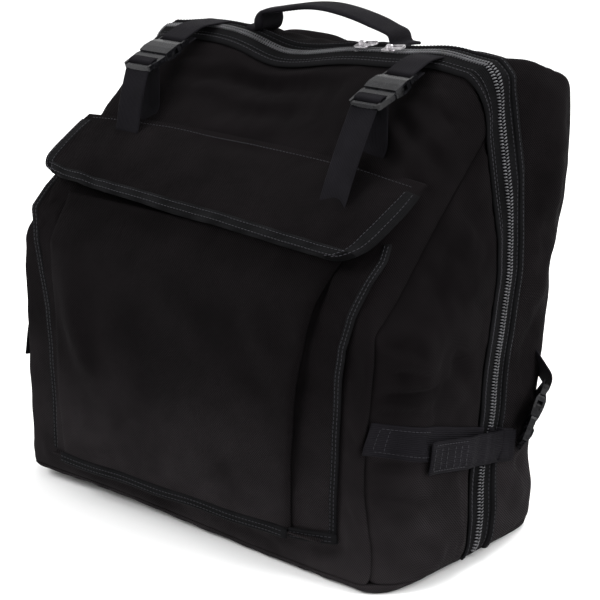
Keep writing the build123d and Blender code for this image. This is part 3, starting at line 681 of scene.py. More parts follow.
# Creases of each panel: (start, end, width, depth), in mm.
PANEL_FOLDS = {
    "front_panel": (
        ((-70, 50, 484), (60, 52, 486), 9, 7.0), ((-120, 30, 462), (60, 20, 456), 14, 6.0),
        ((120, -10, 425), (190, -20, 405), 11, 9.0), ((176, 0, 440), (222, -12, 404), 9, 7.0),
        ((-60, -10, 428), (70, 0, 440), 12, 4.0), ((-150, 10, 445), (-40, 30, 466), 10, 4.0),
        ((170, 30, 462), (215, 10, 430), 9, 4.5), ((222, -128, 240), (236, -122, 205), 8, 5.0),
        ((215, -130, 165), (238, -124, 150), 7, 4.5), ((-200, -131, 30), (60, -131, 18), 9, 4.5),
        ((20, -131, 34), (160, -131, 12), 8, 4.5), ((150, -131, 26), (232, -131, 44), 8, 4.5),
        ((205, -131, 88), (238, -128, 60), 8, 4.0),
    ),
    "side_panel_right": (
        ((245, -124, 262), (243, -72, 240), 8, 6.5), ((243, -122, 232), (243, -70, 216), 7, 6.0),
        ((244, -118, 204), (246, -60, 198), 6, 6.5), ((244, -124, 134), (250, -80, 126), 6, 7.0),
        ((246, -124, 186), (246, -92, 180), 6, 7.0), ((243, -98, 330), (243, -56, 316), 7, 6.0),
        ((243, -84, 350), (243, -48, 354), 6, 5.0), ((246, -40, 240), (246, 6, 180), 10, 4.5),
        ((250, -118, 96), (255, -70, 86), 7, 5.0), ((258, -116, 64), (264, -76, 40), 8, 6.0),
        ((244, -100, 318), (242, -36, 372), 12, 5.0), ((246, -20, 420), (244, 30, 330), 16, 4.0),
        ((252, -30, 70), (252, 20, 40), 10, 4.0), ((246, -50, 300), (244, 10, 260), 13, 3.5),
    ),
    "side_panel_left": (
        ((-245, -110, 240), (-244, -50, 228), 9, 5.5),
        ((-250, -100, 120), (-254, -40, 108), 9, 5.0),
        ((-244, -90, 330), (-242, -30, 380), 14, 5.0),
        ((-244, -118, 198), (-246, -60, 190), 6, 5.0),
    ),
    "rear_gusset": (
        ((243, 80, 300), (243, 150, 280), 14, 4.5), ((256, 70, 90), (250, 120, 70), 10, 4.5),
        ((-243, 80, 320), (-243, 150, 300), 14, 4.5), ((245, 90, 400), (245, 150, 430), 12, 4.0),
        ((60, 120, 500), (170, 140, 500), 10, 3.5),
    ),
    "back_panel": (
        ((-120, 150, 120), (120, 152, 130), 18, 3.5),
    ),
}


def sewn(points, tree, reach):
    """Points near a neighbour drawn over to it, so that the seam between them is shut."""
    out = points.copy()
    for i, point in enumerate(points):
        near = tree.find_nearest(Vector(point), reach)
        if near[0] is not None:
            pull = 0.9 * (1 - near[3] / reach) ** 0.5
            out[i] += (np.array(near[0]) - point) * pull
    return out


POCKET_BACK = -132.5 * MM  # the front panel stays behind this where the pocket is sewn on
MIDDLE = np.array([0, 20, 240]) * MM


def panel_push(node, points, seam, rim, outside, floor):
    """How far a panel's cloth stands out of its solid: padding, waves, puckers and creases."""
    seed = float(len(node))
    free = 1 - np.exp(-rim / (26 * MM))
    push = sizes().puff * (0.0 if floor else 1.0) * free * np.where(outside, 1.0, 0.4)
    push += noise_at(points, 0.12, seed) * 3.5 * MM * free
    push += noise_at(points, 0.045, seed + 3) * 1.4 * MM * free
    gather = np.exp(-((seam - 9 * MM) / (9 * MM)) ** 2)
    push += noise_at(points * np.array([1, 1, 0.8]), 0.017, seed + 5) * 1.5 * MM * gather
    push -= (0.3 if floor else 0.7) * MM * np.exp(-(seam / (4.0 * MM)) ** 2)
    folds = fold_push(points, PANEL_FOLDS.get(node, ()))
    push += np.where(outside, folds, 0) * (1 - np.exp(-rim / (8 * MM)))
    open_cloth = smooth_step(1.5 * MM, 6 * MM, rim)
    return push * open_cloth + 0.7 * MM * (1 - open_cloth)


def behind_pocket(points):
    """The front panel's points, kept from swelling through the pocket's rims."""
    under = 1 - smooth_step(0.212, 0.226, np.abs(points[:, 0]))
    under *= smooth_step(0.042, 0.055, points[:, 2]) * (1 - smooth_step(0.32, 0.35, points[:, 2]))
    points[:, 1] += under * (np.maximum(points[:, 1], POCKET_BACK) - points[:, 1])
    return points


def padded_panel(node, body, mates):
    """One foam-padded panel: remeshed, swollen between its seams, puckered along them."""
    piece = remeshed(node, node + "_padding", sizes().voxel)
    relaxed(piece.data, 3)
    points = get_points(piece.data)
    seam = distances(tree_for(*mates), points)
    rim = np.minimum(seam, distances(tree_for(*ZIP_NODES), points))
    points = sewn(points, tree_for(*mates), 7 * MM)
    points = sewn(points, tree_for(*ZIP_NODES), 4 * MM)
    set_points(piece.data, points)
    floor = node.endswith("bottom_panel")
    if not floor:
        swollen(piece, 1 - smooth_step(4 * MM, 26 * MM, rim))
        relaxed(piece.data, 2)
    points, normals = get_points(piece.data), read(piece.data.vertices, "normal", 3)
    outside = ((points - MIDDLE) * normals).sum(axis=1) > 0
    push = panel_push(node, points, seam, rim, outside, floor)
    points = points + normals * push[:, None]
    if node == "front_panel":
        points = behind_pocket(points)
    points = settled(points)
    points[:, 2] = np.maximum(points[:, 2], 0.3 * MM)
    set_points(piece.data, points)
    relaxed(piece.data, 1, 0.3)
    smooth = piece.modifiers.new("finer", "SUBSURF")
    smooth.levels = smooth.render_levels = 1
    dress(piece, body, "case_fabric", "twill", node)


# ------------------------------------------------------------------ the zip's track
LEAN = np.array([0.0, 41.0, 505.0]) / np.hypot(41.0, 505.0)
ZIP_FOOT = 34.0 * MM
RINGS = {}
TRACK_END = -math.radians(42.6)  # where the zip ends near the floor, seen from the middle
TRACK_STEP = 3 * MM
TRACK_OFFSETS = (-21.5, -17.5, -12.0, -6.0, 6.0, 12.0, 17.5, 21.5)


def ring_hits(offset, angles):
    """Points of the case's skin at an offset from the zip's plane, seen from its middle."""
    tree = tree_for(*FRONT_PANELS[:3], "rear_gusset", *ZIP_NODES)
    middle = np.array([0, ZIP_FOOT + offset * MM, 0]) + LEAN * 250 * MM
    found = []
    for angle in angles:
        ray = X_AXIS * math.cos(angle) + LEAN * math.sin(angle)
        hit = tree.ray_cast(Vector(middle + ray * 0.6), Vector(-ray))[0]
        if hit is None:
            raise RuntimeError(f"the zip's track missed the case at {angle:.2f}")
        found.append(hit)
    return np.array(found, float)


def lay_track():
    """Fills RINGS with evenly spaced stations of the zip's track at several offsets."""
    coarse = np.linspace(math.pi - TRACK_END, TRACK_END, 900)
    run = run_of((ring_hits(-6.0, coarse) + ring_hits(6.0, coarse)) / 2)
    angles = np.interp(np.linspace(0, run[-1], int(run[-1] / TRACK_STEP)), run, coarse)
    for offset in TRACK_OFFSETS:
        RINGS[offset] = settled(ring_hits(offset, angles))
    RINGS[0.0] = (RINGS[-6.0] + RINGS[6.0]) / 2
    RINGS["out"] = unit(np.cross(np.gradient(RINGS[0.0], axis=0), RINGS[6.0] - RINGS[-6.0]))
    RINGS["run"] = run_of(RINGS[0.0])


def track(offset, height=0.0, at=None):
    """Points of the track at an offset in mm across it and a height in mm above it."""
    offsets = sorted(k for k in RINGS if not isinstance(k, str))
    k = int(np.clip(np.searchsorted(offsets, offset) - 1, 0, len(offsets) - 2))
    low, high = offsets[k], offsets[k + 1]
    t = (offset - low) / (high - low)
    line = RINGS[low] * (1 - t) + RINGS[high] * t + RINGS["out"] * height * MM
    return line if at is None else along_line(at, RINGS["run"], line)


def track_strip(section, thickness):
    """A strip along the whole track; the section is a list of (offset, height) in mm."""
    return slab(np.stack([track(d, h) for d, h in section], axis=1), thickness)


def coil_row(sign, shift):
    """One half of the coil: a slanted, rounded turn at every pitch."""
    pitch = sizes().tooth_pitch
    starts = np.arange(4 * MM, RINGS["run"][-1] - 4 * MM, pitch) + shift * pitch
    template, rings, sides = [], 5, 6
    for r in range(rings):
        t = r / (rings - 1)
        swell = 0.55 + 0.45 * math.sin(math.pi * t)
        across = sign * (0.15 + 4.5 * t)
        rise = 0.2 + 1.1 * math.sin(math.pi * min(1.0, 0.15 + 0.8 * t))
        lean = -0.9 * t
        for m in range(sides):
            turn = 2 * math.pi * m / sides
            template.append((lean + swell * math.cos(turn), across,
                             rise + swell * math.sin(turn)))
    columns = [track(d, h, starts + s * MM) for s, d, h in template]
    vertices = np.stack(columns, axis=1).reshape(-1, 3)
    faces = []
    for tooth in range(len(starts)):
        faces += tube_faces(tooth * rings * sides, rings, sides)
    return vertices, faces, vertices[:, :2].copy()


def piece_from(parts, name, body, slot, material, *nodes):
    """One dressed piece from one or several meshes."""
    vertices, faces, flat = joined(parts) if isinstance(parts, list) else parts
    return dress(link_mesh(name, vertices, faces, flat), body, slot, material, *nodes)


TAPE_SECTION = ((4.2, -0.4), (6, -0.7), (9, -0.8), (12, -0.8), (15, -0.7), (19, -1.4))
WELT_SECTION = ((15.6, -0.6), (16.0, 0.7), (17.0, 1.7), (18.6, 2.3), (20.4, 2.2), (21.6, 1.4))


def make_zip():
    """Tapes, welts, coil and their stitching, all on the one track."""
    lay_track()
    for shell, sign in (("front", -1), ("rear", 1)):
        body = f"{shell}_shell"
        tape, welt = ([(sign * d, h) for d, h in section][::sign]
                      for section in (TAPE_SECTION, WELT_SECTION))
        piece_from(track_strip(tape, 1.2 * MM), f"{shell}_zip_tape_cloth", body, "zip_tape",
                   "zip_tape", f"{shell}_zip_tape")
        piece_from(track_strip(welt, 1.4 * MM), f"{shell}_zip_welt_cloth", body, "binding_tape",
                   "binding", f"{shell}_zip_welt")
        piece_from(coil_row(sign, 0.0 if sign < 0 else 0.5), f"{shell}_zip_coil_turns", body,
                   "zip_coil", "coil", f"{shell}_zip_coil")
        rows = [stitches(track(sign * d, h), RINGS["out"]) for d, h in ((12.8, -0.1), (18.4, 3.0))]
        piece_from(rows, f"{shell}_zip_stitching", body, "binding_tape", "thread")


# ------------------------------------------------------------------ pocket
def pocket_edge(z, side=1):
    """Half width of the pocket's face, which narrows towards the floor on its right side."""
    z = np.asarray(z, float) / MM
    right = np.interp(z, [48, 119, 172, 220, 252, 289, 340], [150, 152, 156, 163, 170, 179, 192])
    left = np.interp(z, [48, 150, 300, 340], [172, 176, 186, 190])
    return np.where(side > 0, right, left) * MM


def pocket_profile(t):
    """(y, z) in mm up the pocket's face, from its foot to its mouth."""
    shares = [0, 0.02, 0.3, 0.8, 0.86, 1.0]
    return (np.interp(t, shares, [-149.5, -151, -152, -150, -147.5, -112.5]),
            np.interp(t, shares, [50, 54, 132, 284, 297, 336]))


GUSSET_EDGE = np.array([(200, -136, 48), (202, -136, 113), (206, -136, 207), (213, -139, 250),
                        (222, -136, 282), (234, -126, 314), (235, -105, 332), (230, -92, 345)],
                       float)


POCKET_FOLDS = (
    ((-150, -158, 70), (-40, -158, 110), 14, 2.4), ((60, -158, 66), (128, -158, 96), 10, 2.4),
    ((100, -158, 290), (165, -158, 180), 16, 2.5), ((-160, -158, 300), (-130, -158, 180), 18, 4.0),
    ((-172, -158, 250), (-95, -158, 120), 13, 2.6), ((-60, -158, 300), (60, -158, 230), 22, 2.6),
    ((-20, -158, 120), (80, -158, 190), 20, 2.2),
)


def pocket_face_grid():
    """The pocket's full, creased face."""
    t, u = np.linspace(0, 1, 110), np.linspace(0, 1, 120)
    y, z = pocket_profile(t)
    y = np.convolve(np.pad(y, 6, "edge"), np.ones(13) / 13, "valid")
    left, right = -pocket_edge(z * MM, -1)[:, None], pocket_edge(z * MM, 1)[:, None]
    near_rim = np.minimum(u, 1 - u)
    rise = np.sin(np.pi * np.clip(t * 1.12, 0, 1))[:, None] ** 0.8
    bulge = sizes().pocket_bulge * rise * (0.35 + 0.65 * smooth_step(0, 0.16, near_rim))
    hem = np.exp(-near_rim * (right - left) / (2.2 * MM)) * 5 * MM
    grid = grid_of(left + (right - left) * u, y[:, None] * MM - bulge + hem, z[:, None] * MM)
    points = grid.reshape(-1, 3)
    wander = noise_at(points, 0.10, 2.0) * 3.0 * MM + noise_at(points, 0.04, 4.0) * 0.9 * MM
    settle = np.repeat(np.minimum(t / 0.08, 1) * np.minimum((1 - t) / 0.12, 1), len(u))
    points[:, 1] -= (wander - fold_push(points, POCKET_FOLDS)) * settle
    return points.reshape(grid.shape)


def gusset_grid(side):
    """One side's bellows: a pleat behind the face, then flat cloth out to the seam."""
    z = np.linspace(48, 345, 90)
    inner = pocket_edge(z * MM, side) / MM
    outer, lean = (np.interp(z, GUSSET_EDGE[:, 2], GUSSET_EDGE[:, k]) for k in (0, 1))
    depth = np.interp(z, [48, 150, 300, 345], [3.0, 7.0, 12.0, 10.0])
    pleat_end = -142 + depth * 0.5
    x = np.vstack([inner - 14, inner - 5, inner + 1, inner + 5, inner + 10,
                   np.linspace(inner + 10, outer, 8)[1:]])
    y = np.vstack([np.full(len(z), -140.0), -143 + depth * 0.3, -145 + depth, -144 + depth * 0.7,
                   pleat_end, np.linspace(pleat_end, -134.5, 8)[1:]])
    grid = grid_of(x.T * side * MM, (y.T + lean[:, None] + 136) * MM, z[:, None] * MM)
    points = grid.reshape(-1, 3)
    for length, seed, height in ((0.05, 7.0, 1.8), (0.022, 9.0, 0.6)):
        points[:, 1] -= noise_at(points, length, seed + side) * height * MM
    return points.reshape(grid.shape)


def pocket_piece(name, grid, node, thickness=2.2 * MM, flip=False):
    """A sheet of the pocket's cloth."""
    piece = piece_from(slab(grid, thickness, flip=flip), name, "front_shell", "pocket_fabric",
                       "twill", node)


def make_pocket():
    """Bellows pocket: a full face over folded gussets, bound and stitched round its foot."""
    pocket_piece("pocket_face", pocket_face_grid(), "pocket_panel", 3 * MM)
    bands, threads = [], []
    for side, name in ((1, "right"), (-1, "left")):
        grid = gusset_grid(side)
        pocket_piece(f"pocket_bellows_{name}", grid, f"pocket_gusset_{name}",
                     flip=side < 0)
        seam = grid[:, -1]
        face_out = unit(np.cross(np.gradient(seam, axis=0), X_AXIS))
        face_out *= np.sign((face_out * np.array([0, -1.0, 0.4])).sum(axis=1, keepdims=True))
        inwards = -X_AXIS * side * MM
        bands.append(webbing(seam + inwards * 3 + face_out * 1.2 * MM, X_AXIS, 8 * MM, 2.6 * MM))
        threads += [sewn_row(seam + inwards * inset, face_out, 2.6 * MM) for inset in (1.0, 5.2)]
    foot_x = np.linspace(-0.173, 0.150, 80)
    foot = grid_of(foot_x, -152.0 * MM, 47 * MM + 0.8 * MM * np.sin(foot_x * 60))
    step = resampled(np.array([(151, -147, 47), (176, -143, 48.5), (203, -137, 51)]) * MM, 3 * MM)
    for line, thickness, out in ((foot, 4.0, 2.3), (step, 3.6, 2.1)):
        bands.append(webbing(line, UP, 9 * MM, thickness * MM))
        threads += [stitches(line + np.array([0, -out, rise]) * MM, [0, -1, 0])
                    for rise in (-2.4, 2.2)]
    piece_from(bands, "pocket_binding_tape", "front_shell", "binding_tape", "binding",
               "pocket_binding")
    piece_from(threads, "pocket_stitching", "front_shell", "pocket_fabric", "thread")
    pleats = np.array([(-150.5, 48.5), (-148, 47), (-144, 48.5), (-140, 47.5), (-136, 49),
                       (-131, 48)]) * MM
    floor_grid = grid_of(np.linspace(-190, 190, 90) * MM, pleats[:, :1], pleats[:, 1:])
    pocket_piece("pocket_floor_bellows", floor_grid, "pocket_floor_gusset")


# ------------------------------------------------------------------ flap
def slope_point(x, y, lift=0.0):
    """A point of the case's top and front skin over (x, y), in metres."""
    hit, normal, _, _ = tree_for("front_panel").ray_cast(Vector((x, y, 0.7)), Vector((0, 0, -1)))
    if hit is None:
        raise RuntimeError(f"no skin under x {x:.3f}, y {y:.3f}")
    return np.array(hit + normal * lift)


FLAP_ROOT = np.array([(-230, -41, 402), (-165, -38, 406), (-101, -37, 407.5),
                      (19, -37, 406.5), (100, -38, 405), (150, -39, 402.5), (236, -44, 397)])
FLAP_TIP = np.array([(-238, -109, 356), (-199, -114, 350), (-131, -117, 346.5),
                     (-11, -122, 342.5), (100, -128, 337.5), (184, -132, 334.5),
                     (215, -132, 335)])
FLAP_OUT = np.array([0, -0.62, 0.78])  # away from the case, out of the flap's face
FLAP_FOLDS = (((-190, -60, 385), (-150, -115, 350), 9, 3.0),
              ((165, -60, 385), (196, -118, 345), 9, 3.0),
              ((-60, -50, 395), (60, -48, 396), 9, 1.8))


def flap_point(u, v):
    """A point of the flap's middle layer; u runs left to right and v from root to tip."""
    ends = []
    for line in (FLAP_ROOT, FLAP_TIP):
        x = line[0, 0] + (line[-1, 0] - line[0, 0]) * u
        ends.append(np.array([x, np.interp(x, line[:, 0], line[:, 1]),
                              np.interp(x, line[:, 0], line[:, 2])]))
    point = (ends[0] * (1 - v) + ends[1] * v) * MM
    side = abs(2 * u - 1)
    crown = math.sin(math.pi * v) * (1 - 0.8 * side ** 6)
    point += FLAP_OUT * (5 * MM * crown)
    if u > 0.5:
        droop = max(0.0, side - 0.88) / 0.12
        point += np.array([0, 0.35, -0.75]) * (6 * MM * droop ** 1.6 * math.sin(math.pi * v))
    return point


def make_flap():
    """The pocket's flap: lightly padded, bulging at its left end, drooping at its right."""
    us, vs = np.linspace(0, 1, 150), np.linspace(0, 1, 48)
    grid = np.zeros((len(vs), len(us), 3))
    for i, v in enumerate(vs):
        corner = 0.045 * (1 - math.sqrt(max(0.0, 1 - (max(0.0, v - 0.78) / 0.22) ** 2)))
        for j, u in enumerate(us):
            grid[i, j] = flap_point(0.5 + (u - 0.5) * (1 - 2 * corner), v)
    points = grid.reshape(-1, 3)
    free = np.repeat(np.minimum(vs / 0.12, 1), len(us))
    points += np.outer(noise_at(points, 0.09, 11.0) * 2.6 * MM * free, FLAP_OUT)
    points += np.outer(noise_at(points, 0.03, 13.0) * 0.8 * MM * free, FLAP_OUT)
    points += np.outer(fold_push(points, FLAP_FOLDS) * free, FLAP_OUT)
    grid = points.reshape(grid.shape)
    flap = piece_from(slab(grid, 4.2 * MM, flip=True), "flap_cloth", "pocket_flap",
                      "pocket_fabric", "flap_twill", "pocket_flap")
    rims = [slab(rim, 6.2 * MM, flip=True) for rim in (grid[6:, :5], grid[6:, -5:], grid[-6:])]
    piece_from(rims, "flap_binding_tape", "pocket_flap", "binding_tape", "binding",
               "pocket_flap_binding")
    normal = grid_normals(grid)
    threads = []
    for inset in (1, 4):
        for row in (np.s_[6:, inset], np.s_[6:, -1 - inset], np.s_[-1 - inset, 2:-2]):
            threads.append(sewn_row(grid[row], normal[row], 3.2 * MM))
    threads.append(sewn_row(grid[3, 3:-3], normal[3, 3:-3], 2.2 * MM))
    piece_from(threads, "flap_stitching", "pocket_flap", "binding_tape", "thread")
    lifts = np.array([1.0, 2.2, 1.0, 1.0, 2.2]) * MM
    strip = np.array([[slope_point(x, y, lift) for x in np.linspace(-0.205, 0.205, 90)]
                      for y, lift in zip((-0.0285, -0.026, -0.0235, -0.021, -0.0185), lifts)])
    piece_from(slab(strip, 2.4 * MM, flip=True), "flap_seam_tape", "front_shell", "binding_tape",
               "binding", "flap_seam_strip")


# ------------------------------------------------------------------ webbing straps
# Bars and slots of the buckles along their own x, and how far the webbing lies beside them, in mm.
INNER_SLOT, OUTER_SLOT = -11.75, -21.25
OUTER_BAR, SOCKET_BAR, LADDER_END = -26.0, 36.2, -28.0
WRAP_HEIGHT, LOOP_RADIUS = 4.4, 3.6
ROUND_WRAP = ((INNER_SLOT, -WRAP_HEIGHT), (INNER_SLOT, WRAP_HEIGHT), (OUTER_SLOT, WRAP_HEIGHT),
              (OUTER_SLOT, -WRAP_HEIGHT))
ROUND_SOCKET = ((SOCKET_BAR - LOOP_RADIUS, -LOOP_RADIUS), (SOCKET_BAR - LOOP_RADIUS, LOOP_RADIUS))


class Buckle:
    """Where a buckle's own x (towards the socket) and height lie on the case, on one side."""

    def __init__(self, origin, along, normal, side):
        self.turn = np.array([side, 1.0, 1.0])
        self.origin, self.along = np.array(origin, float), np.array(along, float)
        self.normal = np.array(normal, float)

    def at(self, x, height):
        return (self.origin + self.along * x + self.normal * height) * self.turn * MM

    def line(self, points):
        return [self.at(x, h) for x, h in points]

    def across(self):
        return np.cross(self.along, self.normal) * self.turn


def top_buckle(side):
    return Buckle((156, -14.65, 473.48), (0, 0.941, 0.338), (0, -0.338, 0.941), side)


def side_buckle(side):
    return Buckle((268.37, 99.69, 123.69), (-0.1045, 0.7032, 0.7032), (0.7837, 0.4936, -0.3771),
                  side)


SEAM_INSET = 3.0 * MM


def strap_stitching(line, across, normals, rows, width):
    """Rows of stitches across a strap at the given shares of its line, and down its sides."""
    across = unit(np.asarray(across, float)) * (width / 2 - SEAM_INSET)
    normals = np.broadcast_to(normals, line.shape)
    parts = []
    for share in rows:
        k = int(round(share * (len(line) - 1)))
        parts.append(stitches(resampled([line[k] - across, line[k] + across], 2 * MM),
                              normals[k]))
    low, high = (int(round(f(rows) * (len(line) - 1))) for f in (min, max))
    if high - low > 2:
        for sign in (-1, 1):
            parts.append(stitches(line[low:high + 1] + across * sign, normals[low:high + 1]))
    return parts


def strap_piece(line, across, name, body, node, rows=(), lift=1, cup=0.0):
    """A length of webbing with its stitching."""
    width, thickness = sizes().webbing_width, sizes().webbing_thickness
    piece_from(webbing(line, across, width, thickness, cup=cup), name, body, "webbing",
               "webbing", node)
    if rows:
        normal = unit(np.cross(np.broadcast_to(across, line.shape), np.gradient(line, axis=0)))
        normal *= lift
        on = line + normal * (thickness / 2 + abs(cup))
        piece_from(strap_stitching(on, across, normal, rows, width), f"{name}_stitching", body,
                   "webbing", "thread")


def make_straps():
    """The four buckled straps: wraps, fixed lengths and loose tails."""
    for side, name in ((-1, "left"), (1, "right")):
        top, low = top_buckle(side), side_buckle(side)
        for buckle, kind in ((top, "top"), (low, "side")):
            strap_piece(bent_line(buckle.line(ROUND_WRAP), 2.5 * MM, 1.0 * MM), buckle.across(),
                        f"{kind}_wrap_{name}_webbing", f"{kind}_clip_{name}",
                        f"{kind}_strap_wrap_{name}")
        make_top_strap(top, side, name)
        for make_part in (make_side_strap, make_side_tail, make_side_anchor):
            make_part(low, side, name)


# How far a top strap's loose tail reaches from its ladder, and how steeply it falls in degrees.
TOP_TAILS = {-1: (70, 74), 1: (110, 61)}


def make_top_strap(buckle, side, name):
    """The length over the top, the root at the seam and the loose tail."""
    crest = buckle.line([(SOCKET_BAR + 15, -LOOP_RADIUS), *ROUND_SOCKET, (66, LOOP_RADIUS)])
    crest += [np.array(p) * MM for p in ((156 * side, 97, 498.2), (156 * side, 143, 480.2))]
    strap_piece(bent_line(crest, [3.4 * MM, 3.4 * MM, 12 * MM, 12 * MM]), X_AXIS,
                f"top_strap_{name}_webbing", "rear_shell", f"top_strap_upper_{name}",
                (0.80, 0.86, 0.985))
    foot = slope_point(156 * side * MM, -28 * MM, 2.5 * MM)
    root = [foot + np.array([0, -6, -2]) * MM, foot + np.array([0, 6, 12]) * MM,
            buckle.at(INNER_SLOT, -WRAP_HEIGHT - 1.5)]
    strap_piece(bent_line(root, 8 * MM), X_AXIS, f"top_root_{name}_webbing", "front_shell",
                f"top_strap_lower_{name}")
    reach, fall = TOP_TAILS[side]
    fall = math.radians(fall)
    way = np.array([0, -math.cos(fall), -math.sin(fall)])
    away = np.array([0, -math.sin(fall), math.cos(fall)])
    tail = [buckle.at(OUTER_BAR, 0) + way * r * MM + away * h * MM for r, h in
            ((3.9, 0), (reach * 0.35, 1.5), (reach * 0.7, 1.0), (reach - 9, -0.6), (reach, -0.2))]
    strap_piece(bent_line(tail, 14 * MM), X_AXIS, f"top_tail_{name}_webbing", f"top_tail_{name}",
                f"top_strap_tail_{name}", (0.88, 0.97), cup=1.2 * MM)


def side_reach(y, z, name):
    """How far out the side's cloth stands at a depth and height, in metres."""
    side = 1 if name == "right" else -1
    tree = skin_tree(f"side_panel_{name}_padding", "front_panel_padding", "rear_gusset_padding",
                     "front_zip_welt_cloth", "rear_zip_welt_cloth", "front_zip_coil_turns",
                     "rear_zip_coil_turns")
    hit = tree.ray_cast(Vector((side * 0.4, y, z)), Vector((-side, 0, 0)))[0]
    return abs(hit[0]) if hit is not None else 0.0


SIDE_PATH = ((0, -128, 161), (0, -60, 144), (0, 0, 127), (0, 40, 115), (0, 67, 108))
TAIL_TIP = np.array([264.0, -74, 134])
TAIL_SLIDE = 19.7 * MM  # how far the released clip carries the tail back and down
LEAST_REACH = 224 * MM  # where a side strap lies if no cloth is found under it


def make_side_strap(buckle, side, name):
    """The fixed length, laid on the cloth from its seam to the buckle's ladder."""
    ladder_out = abs(buckle.at(LADDER_END, 0)[0])
    path = resampled(np.array(SIDE_PATH) * MM, 3 * MM)
    across = np.cross(unit(np.gradient(path, axis=0)), X_AXIS)
    offsets = np.linspace(-0.5, 0.5, 9) * sizes().webbing_width
    grid = path[:, None] + across[:, None] * offsets[None, :, None]
    off = np.array([[side_reach(*p[1:], name) for p in row] for row in grid]) + 1.3 * MM
    for _ in range(14):
        wide = np.pad(off, 1, "edge")
        off = np.maximum(off, (wide[:-2, 1:-1] + wide[2:, 1:-1] + wide[1:-1, :-2]
                               + wide[1:-1, 2:]) / 4)
    off = np.maximum(off, LEAST_REACH)
    rise = smooth_step(0.030, 0.067, path[:, 1])[:, None]
    grid[:, :, 0] = side * (off * (1 - rise) + np.maximum(off, ladder_out - 5 * MM) * rise)
    piece_from(slab(grid, sizes().webbing_thickness), f"side_strap_{name}_webbing", "front_shell",
               "webbing", "webbing", f"side_strap_front_{name}")
    threads = [sewn_row(grid[row], X_AXIS * side, 1.0 * MM) for row in
               (np.s_[3, 1:-1], np.s_[6, 1:-1], np.s_[3:22, 1], np.s_[3:22, -2])]
    piece_from(threads, f"side_strap_{name}_stitching", "front_shell", "webbing", "thread")


def make_side_tail(buckle, side, name):
    """The loose length, from the ladder forwards over the cloth, and clear of it as it slides."""
    start = buckle.at(LADDER_END, 0) * buckle.turn / MM
    length = np.linalg.norm(TAIL_TIP - start)
    along = unit(TAIL_TIP - start)
    across = unit(np.cross(along, X_AXIS))
    off = np.cross(across, along)
    points = [(8, -3.8), (26, -6.4), (length * 0.4, -2.6), (length * 0.75, -0.6),
              (length - 10, -0.4), (length, 0.4)]
    line = bent_line([(start + along * x + off * h) * buckle.turn * MM for x, h in points],
                     14 * MM)
    over = np.array([max(max(side_reach(y, z + rise, name),
                             side_reach(y - TAIL_SLIDE, z + rise - TAIL_SLIDE, name) - 2.9 * MM)
                         for rise in (-12 * MM, 0, 12 * MM)) for _, y, z in line]) + 4.0 * MM
    for _ in range(8):
        over = np.maximum(over, np.convolve(np.pad(over, 1, "edge"), [0.5, 0, 0.5], "valid"))
    free = smooth_step(0, 0.25, np.linspace(0, 1, len(line)))
    line[:, 0] = side * np.maximum(np.abs(line[:, 0]), over * free)
    strap_piece(line, across * buckle.turn, f"side_tail_{name}_webbing", f"side_tail_{name}",
                f"side_strap_tail_{name}", (0.60, 0.67, 0.74, 0.81, 0.88, 0.96), lift=side,
                cup=0.8 * MM)


def make_side_anchor(buckle, side, name):
    """The length that holds the socket to the rear shell."""
    points = [(SOCKET_BAR + 7, -LOOP_RADIUS), *ROUND_SOCKET, (SOCKET_BAR + 14, LOOP_RADIUS),
              (SOCKET_BAR + 44, -LOOP_RADIUS - 33)]
    line = bent_line(buckle.line(points), [3.4 * MM, 3.4 * MM, 8 * MM])
    strap_piece(line, buckle.across(), f"side_anchor_{name}_webbing", "rear_shell",
                f"side_strap_rear_{name}", (0.62, 0.70), lift=side)


# ------------------------------------------------------------------ handle
HANDLE_FEET = ((-96.0, 104.0), (88.0, 104.0))
HANDLE_WIDTH = 34 * MM


def make_handle():
    """Doubled webbing bowed over the top, its folded ends sewn down to the rear shell."""
    skin = skin_tree("rear_gusset_padding", "back_panel_padding")
    left, right = (np.array(skin.ray_cast(Vector((x * MM, y * MM, 0.7)), Vector((0, 0, -1)))[0])
                   / MM for x, y in HANDLE_FEET)
    points = [left + [-15, 0, 2.5], left + [0, 0, 2.5], (-94, 104, 514), (-18, 104, 529),
              (36, 104, 523), (86, 104, 509), right + [0, 0, 2.5], right + [12, 0, 2.5]]
    line = bent_line([np.array(p) * MM for p in points],
                     [6 * MM, 8 * MM, 40 * MM, 40 * MM, 12 * MM, 6 * MM], 2.0 * MM)
    share = np.linspace(0, 1, len(line))
    plies = (3.4 + 1.6 * smooth_step(0.16, 0.24, share) * (1 - smooth_step(0.78, 0.86, share)))
    plies += 9 * np.exp(-((line[:, 2] / MM - 503) / 9) ** 2) * (line[:, 0] < -0.08)
    band = webbing(line, [0, 1, 0], HANDLE_WIDTH, (plies * MM)[:, None], columns=11,
                   cup=-1.2 * MM)
    piece_from(band, "handle_webbing", "rear_shell", "webbing", "webbing", "carry_handle")
    normal = unit(np.cross([0.0, 1, 0], np.gradient(line, axis=0)))
    on = line + normal * (plies / 2 * MM)[:, None]
    parts = strap_stitching(on, [0, 1, 0], normal, (0.22, 0.25, 0.75, 0.78), HANDLE_WIDTH)
    piece_from(parts, "handle_stitching", "rear_shell", "webbing", "thread")


# ------------------------------------------------------------------ shoulder straps
SHOULDER_PATH = ((0, 183, 452), (0, 218, 474), (0, 234, 418), (0, 210, 260), (0, 178, 150))
WEB_RUN = np.hypot(32, 110)
WEB_DOWN = np.array([0, -32.0, -110]) / WEB_RUN  # the way the lower webbing runs
WEB_OUT = np.array([0, 110.0, -32]) / WEB_RUN  # away from the back, square to it


